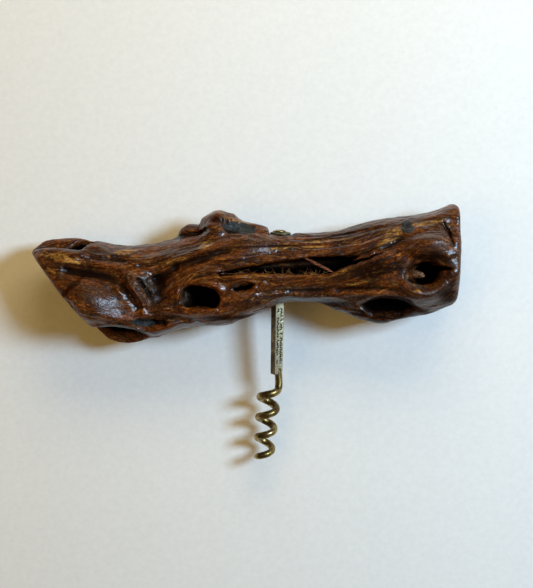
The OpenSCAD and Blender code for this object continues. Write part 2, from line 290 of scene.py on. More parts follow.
FRONT_STROKES = [
    # path, half width, height
    ([(-103, 6.0), (-97, 6.6), (-90, 6.3), (-84, 5.6), (-79, 8.2), (-74, 9.4)], 1.3, 0.7),
    ([(-92, -1.4), (-86, -2.4), (-78, -3.2), (-71, -5.6), (-66, -9.4)], 3.0, -1.6),
    ([(-91, -4.2), (-84, -5.6), (-76, -6.0), (-69, -8.6), (-62, -13.6)], 1.2, 1.0),
    ([(-80, -19.0), (-72, -21.2), (-64, -21.8), (-57, -21.4), (-52, -19.6)], 2.1, 1.3),
    ([(-66, -5.6), (-65, -9.0), (-62.6, -12.6), (-59.8, -16), (-58.0, -18.4)], 1.6, -1.2),
    ([(-62.0, -7.0), (-59.6, -10.4), (-57.4, -13.6), (-56.0, -17.0)], 1.0, 1.5),
    ([(-58.4, -9.4), (-56.4, -11.6), (-54.8, -14.6), (-54.2, -17.6)], 0.6, 1.1),
    ([(-59.6, -4.4), (-58.0, -5.6), (-56.6, -7.6), (-55.4, -9.0)], 0.6, -1.9),
    ([(-55.6, -8.8), (-54.2, -10.6), (-53.4, -13.0)], 0.8, -1.4),
    ([(-63.0, -9.4), (-61.2, -11.6), (-59.6, -14.4)], 0.4, -1.0),
    ([(-59.2, -11.8), (-57.6, -14.6), (-57.0, -17.8)], 0.35, -0.9),
    ([(-56.8, -16.8), (-56.4, -19.4), (-57.0, -21.8)], 0.9, 1.0),
    ([(-61, -23.0), (-56, -22.5), (-50, -22.8), (-46, -23.4)], 1.4, -1.7),
    ([(-52.6, -2.4), (-50.6, -6.6), (-49, -11), (-47, -14.6)], 2.8, -1.7),
    ([(-74, -24.2), (-69, -24.0), (-63, -24.8), (-57, -26.8), (-52, -27.8)], 1.0, 0.5),
    ([(-46, -0.4), (-42, 0.8), (-36, 2.4), (-30, 4.6), (-23, 7.2), (-16, 8.0)], 1.5, -0.9),
    ([(-54, -5.4), (-50, -3.2), (-46, -1.2), (-41, 0.6)], 2.4, -1.2),
    ([(-50, 1.6), (-42, 3.8), (-34, 6.4), (-26, 9.8), (-18, 12.6), (-8, 13.4)], 2.4, 1.0),
    ([(-66, 3.2), (-58, 3.6), (-50, 5.0), (-42, 8.0), (-34, 12.0)], 2.4, 0.7),
    ([(-60, 0.6), (-54, 0.6), (-48, 2.0)], 1.0, -0.7),
    ([(-80, 1.6), (-74, 0.9), (-68, -0.2), (-64, -2.4)], 1.4, 0.9),
    ([(-86, 2.6), (-78, 3.4), (-70, 3.2), (-62, 2.0)], 0.8, -0.7),
    ([(-78, 5.0), (-70, 5.2), (-62, 5.6), (-56, 7.0)], 1.5, 0.6),
    ([(-49, -8.0), (-44, -4.0), (-39, -0.9), (-33, 1.1), (-26, 3.6), (-17, 5.0)], 1.5, 1.5),
    ([(-44, -6.4), (-38, -3.6), (-31, -1.4), (-24, 0.6)], 1.6, 0.7),
    ([(-37, -4.4), (-33, -3.6), (-29, -2.6), (-26, -2.4)], 0.5, -0.9),
    ([(-52, -16.4), (-45, -18.2), (-36, -18.9), (-26, -18.6), (-16, -15.6)], 2.0, 1.0),
    ([(-50, -21.0), (-42, -21.0), (-31, -21.6), (-22, -20.4)], 1.0, -0.6),
    ([(-25.6, -2.9), (-22, -2.6), (-18.6, -2.6)], 0.4, -1.6),
    ([(-30, -3.8), (-24, -4.2), (-19, -3.9), (-12, -3.4)], 0.9, 0.7),
    ([(39, 7.4), (43, 9.0), (47.5, 11.6), (53, 15.0)], 0.8, -0.9),
    ([(67.5, 1.9), (70.5, 1.6), (73, 1.5)], 0.5, -1.6),
    ([(68.6, 22.0), (69.6, 19.4), (71.2, 17.0), (72.2, 13.8), (72.9, 10.4)], 0.55, -1.2),
    ([(22, -8.6), (28, -7.6), (38, -7.0), (47, -8.2), (54, -10.0)], 1.7, -0.9),
    ([(2, -11.2), (12, -11.4), (22, -10.6), (32, -9.4), (40, -9.0), (50, -9.9), (59, -12.2)],
     1.3, 1.0),
    ([(-11, -10.0), (0, -8.6), (12, -8.3), (22, -7.6)], 0.9, -0.9),
    ([(-8.0, -6.6), (-6.2, -5.4), (-4.8, -6.6), (-6.2, -7.8)], 0.7, 0.6),
    ([(-6, -5.0), (4, -5.4), (14, -5.2), (26, -3.6), (36, -0.6)], 1.3, 0.6),
    ([(12, 8.4), (20, 8.8), (28, 9.6), (36, 11.4), (44, 14.4), (50, 17.2)], 1.2, 0.7),
    ([(0, 8.6), (10, 9.2), (20, 10.0), (30, 11.4), (38, 13.6), (46, 17)], 0.55, -0.6),
    ([(-2, 11.0), (10, 11.0), (22, 11.6), (32, 13.4), (42, 17.2)], 0.5, -0.5),
    ([(2, 12.8), (14, 12.8), (26, 13.8), (38, 17.2), (48, 19.8)], 0.6, -0.55),
    ([(6, 14.4), (18, 14.4), (30, 16.0), (42, 19.4)], 0.5, -0.45),
    ([(-16, 4.6), (-8, 6.0), (2, 7.6)], 0.7, -0.5),
    ([(56, 18.0), (62, 18.8), (69, 19.6)], 1.0, 0.5),
    ([(55, 15.2), (61, 15.6), (67, 15.2), (71, 13)], 1.2, -0.6),
    ([(24, 1.6), (32, 4.6), (40, 8.0), (47, 10.4)], 0.5, 0.4),
    ([(-32, 9.6), (-26, 12.4), (-20, 13.8)], 0.9, -0.6),
    ([(-46, 12.6), (-39, 14.4), (-33, 15.2), (-29.6, 17.6)], 1.0, -1.6),
    ([(-23.6, 22.0), (-23.0, 20.4), (-23.2, 18.6)], 0.4, 0.8),
    ([(-21.8, 21.6), (-21.2, 20.2), (-21.6, 18.8)], 0.35, 0.6),
    ([(-21.6, 21.4), (-16, 19.6), (-9, 18.2)], 0.9, 0.5),
]

FRONT_LIPS = [
    # path (steep on its right), half width, height, share of the width on the steep side
    ([(53, 11.4), (47, 8.0), (40, 4.8), (32, 1.6), (25, -0.8), (18, -2.7), (10, -2.9), (0, -3.0),
      (-10, -3.0), (-20, -3.3), (-28, -3.9)], 1.3, 0.8, 0.6),
    ([(-14, 1.6), (-6, 3.4), (4, 4.7), (14, 5.4), (23, 5.9), (31, 6.8), (38, 8.4)], 1.8, 0.6, 0.7),
    ([(55.0, 5.4), (58.6, 8.6), (62.8, 10.2), (67.4, 10.0), (70.6, 8.2), (72.0, 5.6)], 3.6, 1.1, 0.8),
    ([(70, -3.0), (67, -6.2), (62.5, -8.2), (57.5, -7.9), (53.5, -6.0), (51.2, -3.4)], 2.3, 1.5, 1.0),
    ([(-24.6, -17.2), (-31, -17.4), (-37, -17.2), (-42, -16.0)], 1.1, 1.0, 0.7),
    ([(-42.0, -15), (-41.8, -9), (-38.4, -6.4), (-31, -5.8), (-25, -8.2), (-22.6, -12)],
     1.7, 0.9, 0.6),
    ([(-21, -8.2), (-17, -5.4), (-12, -4.8), (-8.6, -6.2)], 1.0, 0.6, 0.7),
    ([(-8.4, -7.0), (-12, -9.6), (-16, -10.4), (-21, -9.2)], 1.0, 0.7, 0.7),
]

# Swellings of the silhouette, front and back alike.
OUTLINE_STROKES = [
    ([(-86, -13.6), (-80, -19.6), (-72, -28.0), (-64, -31.0), (-56, -29.4), (-46, -25.4), (-38, -24.0)],
     2.6, 1.5),
    ([(-54, -28.2), (-47, -25.8), (-40, -24.4), (-33, -23.8)], 2.6, 1.2),
    ([(-34, -23.6), (-26, -23.4), (-16, -21.6)], 2.4, 0.9),
    ([(4, -14.4), (12, -14.6), (19, -15.6), (25, -18.0), (32, -20.2), (38, -20.8), (45, -21.2),
      (52, -20.4)], 3.2, 0.8),
    ([(2, 15.6), (10, 15.8), (20, 16.4), (30, 18.0)], 2.4, -0.6),
]

# Strands and hollows of the side that lies on the table.
BACK_STROKES = [
    ([(-80, -12), (-60, -10), (-40, -4), (-20, 4), (-4, 8)], 1.6, -1.3),
    ([(-50, 4), (-34, 6), (-20, 10), (-8, 14)], 1.4, -0.9),
    ([(4, 6), (20, 3), (38, -3), (56, -6), (72, -4)], 1.7, -1.3),
    ([(30, 12), (44, 10), (58, 12), (70, 15)], 1.5, 1.0),
    ([(-34, -14), (-16, -10), (2, -6), (18, -5)], 1.7, 0.9),
    ([(-92, 2), (-78, 0), (-66, 1), (-54, -2)], 1.8, 0.9),
]

FRONT_BULGES = [
    # middle x and y, half length, half width, turn in degrees, height
    (-82.5, -13.0, 17.0, 6.8, -33, 2.2),
    (-70.0, -16.5, 9.0, 4.0, -25, 0.3),
    (-90.0, 3.0, 9.0, 3.4, 8, 0.6),
    (-58.5, -25.2, 7.0, 1.8, -14, 0.6),
    (-25.6, 20.4, 4.2, 2.0, -8, -0.9),
    (-61.6, -5.4, 3.0, 3.8, 20, 1.2),
    (-12.5, 8.8, 9.0, 3.8, 22, 1.1),
    (61.0, 9.8, 8.0, 4.8, -8, 0.2),
    (66.0, 10.8, 6.4, 3.6, -6, 0.3),
    (63.5, 14.4, 9.0, 3.4, -4, 2.0),
    (60.0, -11.4, 10.0, 3.2, -8, 0.4),
    (-18.0, -12.5, 6.0, 4.0, 0, 0.6),
    (50.0, -19.6, 12.0, 2.2, 2, -1.2),
    (12.0, -14.5, 14.0, 2.6, 3, -0.8),
]

# Lumps grown out of the wood: middle, radius and how widely it blends in.
LUMPS = [
    ((-36.4, 13.6, -2.0), 5.0, 3.0),
    ((-29.4, 18.2, 0.5), 3.9, 1.6),
    ((-25.6, 19.8, 1.0), 4.5, 2.5),
    ((-21.0, 18.6, 1.0), 4.6, 2.5),
    ((53.6, 17.8, 7.0), 3.4, 1.2),
]

# Openings in the front: outlines seen from above.
POCKET_LEFT = [(-39.9, -9.4), (-38.6, -8.0), (-34.5, -7.5), (-30.4, -7.9), (-27, -9.7),
               (-24.6, -12.4), (-25.0, -15.6), (-27.4, -16.8), (-30.6, -15.6), (-34, -15.9),
               (-37.4, -16.5), (-39.8, -15.4), (-39.2, -12.6)]
POCKET_EYE = [(-18.9, -8.3), (-16.2, -7.0), (-12.6, -6.0), (-9.9, -6.3), (-11.4, -8.0),
              (-14.4, -9.2), (-17.4, -9.3)]
POCKET_RIGHT = [(34.6, -15.4), (37.6, -12.9), (42.4, -11.7), (48, -11.8), (53.5, -12.9),
                (57.6, -15.4), (55.0, -18.6), (47, -21.4), (39.0, -20.6), (35.0, -18.2)]
KNOT_HOLE = [(57.6, -1.8), (58.0, 1.6), (60.0, 3.4), (63, 4.2), (67.0, 3.0), (73.2, 1.6),
             (68.0, 0.7), (66.6, -1.8), (63.8, -4.0), (61, -4.4), (58.4, -3.8)]
# The bowl round the knot hole, where the wood dips before it drops away.
FUNNEL = [(52.4, -1.8), (54.6, 1.6), (58.6, 3.9), (62.0, 3.0), (62.0, -4.6), (57.6, -4.9),
          (54.0, -3.9)]
# Edges of the long split, from left to right: lower edge, upper wall low down, and upper edge.
SPLIT_LOW = [(-26, -2.4), (-20, -1.7), (-10, -1.6), (0, -1.6), (10, -1.7), (19, -1.4), (25, 0.4),
             (31, 2.6), (37, 4.8), (43, 7.4)]
SPLIT_MID = [(-26, -2.1), (-20, -1.2), (-10, -0.5), (0, 0.2), (10, 1.0), (19, 2.3), (25, 3.0),
             (31, 4.2), (37, 5.6), (43, 7.6)]
SPLIT_HIGH = [(-26, -2.0), (-20, -0.6), (-10, 0.8), (0, 2.3), (10, 2.7), (19, 3.1), (25, 3.5),
              (31, 4.6), (37, 6.0), (43, 7.8)]


def height_on(points, x):
    """y of a left-to-right curve at each x."""
    curve = curve_through(on_front(points))
    return np.interp(x, curve[:, 0], curve[:, 1])


def bulge(clay, x, y, half_length, half_width, turn, height):
    """A low dome (or dish, if height is below 0)."""
    mx, my = map_axes(clay)
    x, y = on_front([(x, y)])[0]
    c, s = math.cos(math.radians(turn)), math.sin(math.radians(turn))
    along = ((mx - x) * c + (my - y) * s) / half_length
    across = ((my - y) * c - (mx - x) * s) / half_width
    return height * np.exp(-(along ** 2 + across ** 2) ** 1.4)


def front_share(clay):
    """1 on the side that faces the viewer, 0 on the back, changing over the waist of the wood."""
    return smoothstep(-4.5, 2.5, clay.z)


def front_relief(clay):
    relief = np.zeros(clay.shape[:2])
    for points, width, height in FRONT_STROKES:
        relief += stroke(clay, on_front(points), width, height)
    for points, width, height, sharp in FRONT_LIPS:
        relief += lip(clay, on_front(points), width, height, sharp)
    for spot in FRONT_BULGES:
        relief += bulge(clay, *spot)
    return relief


def outline_relief(clay):
    relief = np.zeros(clay.shape[:2])
    for points, width, height in OUTLINE_STROKES:
        relief += stroke(clay, points, width, height)
    return relief


def lift_front(clay, lift):
    """Moves the front skin up by lift (a front-view map, in mm) and leaves the outline alone."""
    count = clay.shape[2]
    at = np.clip(np.arange(count) - lift[:, :, None] * front_share(clay) / CELL, 0.0, count - 1.01)
    base = at.astype(int)
    low = np.take_along_axis(clay.field, base, 2)
    high = np.take_along_axis(clay.field, base + 1, 2)
    clay.field = (low + (high - low) * (at - base)).astype(np.float32)


def petal_lift(clay):
    """Tips the broad petal on the left a little, so that it falls towards the gnarl."""
    mx, _ = map_axes(clay)
    fall = np.clip(0.10 * (-71.0 - mx), -0.8, 0.9)
    return fall * bulge(clay, -74.0, -15.4, 13.0, 7.2, -33, 1.0)


def dome_lift(clay):
    """Tips the dome above the knot hole towards the sawn end."""
    mx, _ = map_axes(clay)
    return 0.24 * (63.0 - mx) * bulge(clay, 64.5, 11.0, 8.0, 4.4, -6, 1.0)


def back_relief(clay):
    """Long uneven strands, with a few drawn-in furrows and ridges."""
    mx, my = map_axes(clay)
    flat = np.stack(np.broadcast_arrays(mx / 26.0 + 7.0, (my + mx * 0.16) / 4.6, 0.0 * mx), axis=-1)
    relief = 0.9 * layered_noise(flat, seed=5, octaves=2)
    for points, width, height in BACK_STROKES:
        relief += stroke(clay, points, width, height)
    return relief


def carve(clay, opening, edge=0.7):
    """Takes an opening (negative inside) out of the wood, with a rounded edge."""
    clay.field = soft_max(clay.field, -opening, edge).astype(np.float32)


def ragged(clay, size, seed, reach=0.35):
    """Small wandering offsets that keep carved edges from looking machined."""
    mx, my = map_axes(clay)
    flat = np.stack(np.broadcast_arrays(mx / size, my / size, 0.0 * mx), axis=-1)
    return reach * layered_noise(flat, seed, 2)


def sink(clay, outline, floor, taper, seed):
    """An opening under an outline: down to floor, drawing in by taper per mm below the front skin."""
    flat = (outline_distance(clay, on_front(outline)) + ragged(clay, 2.2, seed))[:, :, None]
    depth = np.maximum(15.0 - clay.z, 0.0)
    return np.maximum(flat + taper * depth, floor - clay.z)


def carve_left_end(clay, mx, my):
    """The step down to the rear lobe, and the undercut above the toe."""
    rim = height_on([(-106, 7.4), (-98, 7.9), (-90, 7.4), (-84, 6.9), (-80.5, 9.6), (-76, 11.6),
                     (-70, 13.6)], mx)
    floor = height_on([(-106, 6.0), (-98, 1.5), (-90, -2.0), (-84, -7.0), (-79, -6.0), (-73, 4.0)], mx)
    rim, floor = rim[:, :, None], floor[:, :, None]
    lean = 0.5 * (my[:, :, None] - rim)
    valley = np.maximum(rim - my[:, :, None], floor - clay.z + lean)
    carve(clay, np.maximum(valley, mx[:, :, None] + 74.0), 0.7)
    lip_line = height_on([(-80, -25.2), (-75, -25.2), (-69, -24.9), (-63, -25.8), (-57, -28.0),
                          (-52, -30)], mx)
    toe_top = height_on([(-80, -7.0), (-74, -4.5), (-66, -3.5), (-58, -1.0), (-50, 5.0)], mx)
    under = np.maximum(my[:, :, None] - lip_line[:, :, None], toe_top[:, :, None] - clay.z)
    carve(clay, np.maximum(under, mx[:, :, None] + 52.0), 0.7)


def carve_split(clay, mx, my):
    """A steep lower wall, and an upper wall that leans down into the dark."""
    wander = ragged(clay, 2.6, 8, 0.5)[:, :, None]
    low = height_on(SPLIT_LOW, mx)[:, :, None] + 0.6 * wander
    mid = height_on(SPLIT_MID, mx)[:, :, None]
    high = height_on(SPLIT_HIGH, mx)[:, :, None] + wander
    rise = np.clip((clay.z - 5.0) / 8.0, 0.0, 1.3)
    wall = mid + (high - mid) * rise
    split = np.maximum(low - my[:, :, None], my[:, :, None] - wall)
    split = np.maximum(split, 5.2 - clay.z)
    ends = np.maximum(-26.0 - mx, mx - 42.5)[:, :, None]
    carve(clay, np.maximum(split, ends), 0.4)


def carve_bore(clay):
    """The bore for the shank, cut true along its own line."""
    up = clay.y * math.cos(SHANK_DIP) + clay.z * math.sin(SHANK_DIP)
    away = clay.z * math.cos(SHANK_DIP) - clay.y * math.sin(SHANK_DIP)
    carve(clay, np.maximum(np.hypot(clay.x, away) - BORE_R, up - 8.0), 0.3)


def carve_seat(clay):
    """The flat that the washer beds on, open towards the viewer."""
    up = clay.y * math.cos(SHANK_DIP) + clay.z * math.sin(SHANK_DIP)
    sides = np.abs(clay.x - WASHER_X) - SEAT_HALF
    carve(clay, np.maximum(np.maximum(SEAT - up, sides), -4.0 - clay.z), 0.5)


def carve_checks(clay):
    """Drying cracks in the square sawn end."""
    for y, z, turn, reach in [(6, 1, 20, 9), (2, -4, 100, 7), (12, -3, 160, 8), (-6, 4, 250, 6),
                              (-2, -9, 305, 5)]:
        c, s = math.cos(math.radians(turn)), math.sin(math.radians(turn))
        along = (clay.y - y) * c + (clay.z - z) * s
        across = np.abs((clay.z - z) * c - (clay.y - y) * s)
        width = 0.42 * np.clip(1.0 - np.abs(along - reach / 2) / (reach / 2 + 0.01), 0.0, 1.0)
        crack = np.maximum(across - width, 72.4 - clay.x) + 0.0 * clay.x
        carve(clay, crack, 0.15)


def add_lump(clay, middle, radius, blend):
    """Grows a rounded lump out of the wood."""
    far = np.sqrt((clay.x - middle[0]) ** 2 + (clay.y - middle[1]) ** 2 + (clay.z - middle[2]) ** 2)
    clay.field = soft_min(clay.field, far - radius, blend).astype(np.float32)


def carve_left_pockets(clay, mx):
    """The square-mouthed pocket, whose floor climbs at its left end, and the small eye."""
    ramp = -1.0 + 2.4 * np.clip(-34.5 - mx, 0.0, 5.0)[:, :, None]
    carve(clay, sink(clay, POCKET_LEFT, ramp, 0.02, seed=2), 0.5)
    carve(clay, sink(clay, POCKET_EYE, 8.5, 0.10, seed=3), 0.5)


def carve_right_pocket(clay, mx, my):
    """Deepest under its upper edge, with a floor that climbs to meet the skin below and beside."""
    flat = outline_distance(clay, on_front(POCKET_RIGHT))[:, :, None]
    slope = 3.4 + 0.95 * np.clip(-13.4 - my[:, :, None], 0.0, 9.0)
    slope = slope + 1.0 * np.clip(np.abs(mx[:, :, None] - 45.0) - 6.0, 0.0, 7.0)
    carve(clay, soft_max(flat, slope - clay.z, 1.4), 3.2)


def carve_knot_hole(clay, mx):
    funnel = 15.6 - 1.5 * np.clip(mx[:, :, None] - 52.4, 0.0, 12.0)
    carve(clay, sink(clay, FUNNEL, funnel, 0.0, seed=6), 0.8)
    carve(clay, sink(clay, KNOT_HOLE, 0.0, 0.02, seed=4), 0.7)


def sculpt_handle(clay):
    clay.field = clay.blurred(SMOOTH)
    for middle, radius, blend in LUMPS:
        add_lump(clay, middle, radius, blend)
    lift_front(clay, petal_lift(clay) + dome_lift(clay))
    clay.field -= outline_relief(clay)[:, :, None].astype(np.float32)
    share = front_share(clay)
    clay.field -= (front_relief(clay)[:, :, None] * share).astype(np.float32)
    clay.field -= (back_relief(clay)[:, :, None] * (1.0 - share)).astype(np.float32)
    mx, my = map_axes(clay)
    mx, my = mx + 0.0 * my, my + 0.0 * mx
    carve_left_end(clay, mx, my)
    carve_left_pockets(clay, mx)
    carve_right_pocket(clay, mx, my)
    carve_knot_hole(clay, mx)
    carve_seat(clay)
    carve_split(clay, mx, my)
    carve_checks(clay)
    carve_bore(clay)


# --- Building meshes ---

def new_piece(name, points, faces, material):
    """A finished piece from points in mm, riding on the corkscrew's only body."""
    mesh = bpy.data.meshes.new(name)
    faces = faces.tolist() if isinstance(faces, np.ndarray) else faces
    mesh.from_pydata((np.asarray(points, float) * MM).tolist(), [], faces)
    mesh.validate()
    mesh.materials.append(material)
    mesh.shade_smooth()
    piece = bpy.data.objects.new(name, mesh)
    bpy.context.scene.collection.objects.link(piece)
    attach(piece, "root")
    return piece


def vertex_normals(points, quads):
    """Unit normals at the points, averaged over the faces that meet there."""
    a, b, c, d = (points[quads[:, i]] for i in range(4))
    face = np.cross(c - a, d - b)
    total = np.zeros_like(points)
    for i in range(4):
        np.add.at(total, quads[:, i], face)
    return total / np.maximum(np.linalg.norm(total, axis=1, keepdims=True), 1e-9)


def largest_shell(points, quads):
    """Drops loose crumbs: only the biggest connected skin is kept."""
    parent = np.arange(len(points))
    edges = np.vstack([quads[:, [0, 1]], quads[:, [1, 2]], quads[:, [2, 3]]])
    while True:
        low = np.minimum(parent[edges[:, 0]], parent[edges[:, 1]])
        before = parent.copy()
        np.minimum.at(parent, edges[:, 0], low)
        np.minimum.at(parent, edges[:, 1], low)
        parent = parent[parent]
        if np.array_equal(before, parent):
            break
    roots, counts = np.unique(parent, return_counts=True)
    keep = parent == roots[np.argmax(counts)]
    index = np.cumsum(keep) - 1
    quads = quads[keep[quads[:, 0]]]
    return points[keep], index[quads]


def ring_faces(rings, sides):
    """Quads between rings of points that follow one another."""
    faces = []
    for i in range(rings - 1):
        for j in range(sides):
            a = i * sides + j
            b = i * sides + (j + 1) % sides
            faces.append((a, b, b + sides, a + sides))
    return faces


def closed_tube(rings):
    """Points and faces of a tube through the rings, with a fan over each end."""
    rings = np.asarray(rings)
    count, sides = rings.shape[:2]
    points = np.vstack([rings.reshape(-1, 3), rings[0].mean(0), rings[-1].mean(0)])
    faces = ring_faces(count, sides)
    first, last = count * sides, count * sides + 1
    for j in range(sides):
        k = (j + 1) % sides
        faces.append((first, k, j))
        faces.append((last, (count - 1) * sides + j, (count - 1) * sides + k))
    return points, faces


def join_shells(shells):
    """One list of points and faces from several."""
    points, faces, offset = [], [], 0
    for shell_points, shell_faces in shells:
        points.append(shell_points)
        faces.extend([tuple(int(i) + offset for i in face) for face in shell_faces])
        offset += len(shell_points)
    return np.vstack(points), faces


def sweep(centres, radii, sides, flat=1.0, seed=0, rough=0.0):
    """A tube along centres with its own radius at each, a little uneven if rough is above 0."""
    centres = np.asarray(centres, float)
    tangents = np.gradient(centres, axis=0)
    tangents /= np.linalg.norm(tangents, axis=1, keepdims=True)
    first = np.cross(tangents, [0.0, 0.0, 1.0])
    first /= np.maximum(np.linalg.norm(first, axis=1, keepdims=True), 1e-9)
    second = np.cross(first, tangents)
    turn = np.linspace(0.0, 2.0 * math.pi, sides, endpoint=False)
    radii = np.asarray(radii, float)[:, None, None]
    ring = first[:, None, :] * np.cos(turn)[None, :, None]
    ring = ring + flat * second[:, None, :] * np.sin(turn)[None, :, None]
    points = centres[:, None, :] + radii * ring
    if rough > 0.0:
        wobble = layered_noise(points * 1.1 + seed * 7.3, seed, 2)
        points = centres[:, None, :] + radii * ring * (1.0 + rough * wobble[:, :, None])
    return closed_tube(points)


# --- Grain ---

KNOTS = [
    # x, y and radius of spots that the grain flows round, as seen from above
    (-32.5, -12.2, 5.6), (-14.5, -7.6, 2.6), (62.0, -0.8, 7.0), (48.0, -14.5, 4.4), (53.5, 18.6, 2.6),
    (-59.0, -9.0, 3.4), (-27.0, 21.5, 4.0), (-6.3, -6.6, 1.5), (-16.5, 16.8, 2.6),
]


def grain_space(points):
    """Where each point lies in the wood: mm along the grain, and two mm across it."""
    x, y, z = points[:, 0], points[:, 1], points[:, 2]
    front = smoothstep(-5.0, 4.0, z)
    across = y.copy()
    for kx, ky, radius in KNOTS:
        dx, dy = x - kx, y - ky
        squared = np.maximum(dx * dx + dy * dy, (0.75 * radius) ** 2)
        across -= front * radius ** 2 * dy / squared
    # The strands climb to the right: a slow twist, faster through the furrow and past the split.
    across -= front * (5.2 * np.tanh((x + 37.0) / 16.0) + 4.6 * np.tanh((x - 34.0) / 16.0) + 0.02 * x)
    # The petal's grain falls to the right.
    petal = np.exp(-(((x + 76.0) / 15.0) ** 2 + ((y + 12.0) / 9.0) ** 2))
    across += front * petal * 0.45 * (x + 76.0)
    across += (1.0 - front) * 0.16 * x
    wander = noise(np.stack([x / 19.0, y / 9.0, z / 9.0], axis=1), 3)
    curl = noise(np.stack([x / 6.5, y / 5.0, z / 5.0], axis=1), 4)
    return np.stack([x, across + 1.3 * wander + 0.35 * curl, z + 0.9 * wander], axis=1)


# Patches on the front seen from above: x, y, half width, half height, turn in degrees.

# Where fibres stand out in long parallel lines.
FIBROUS = [(16, 11.5, 26, 6.0, 4), (46, 13.5, 12, 5.0, 24), (-90, 10.0, 12, 3.0, 4),
           (-36, 7, 14, 3.5, 20), (0, 3.0, 22, 2.4, 4), (30, 1.0, 12, 2.6, 20)]

# Where handling has worn the ridges smooth.
POLISHED = [(-75, -14, 12, 7, -33), (64, 10.4, 9, 4.4, -8), (60, -9.6, 14, 3.4, -6),
            (-8, 8.8, 9, 3.4, 22), (40, -3, 12, 5, 8), (70, -10, 5, 8, 0), (-26, 20.5, 5, 3, 0)]


def grain_relief(grain, fibrous, polished):
    """Fine ridges that follow the grain, in mm."""
    coarse = layered_noise(grain / np.array([17.0, 2.6, 2.6]), 11, 2)
    fine = layered_noise(grain / np.array([8.0, 1.1, 1.1]), 23, 2)
    pits = noise(grain / np.array([2.4, 1.4, 1.4]), 31)
    lines = 1.0 - np.abs(noise(grain / np.array([26.0, 1.25, 1.25]), 47)) * 2.0
    relief = 0.32 * coarse + 0.14 * fine + 0.13 * pits
    return relief * (1.0 - 0.65 * polished) - fibrous * 0.28 * np.maximum(lines, 0.0)


# --- Where the wood changes colour ---

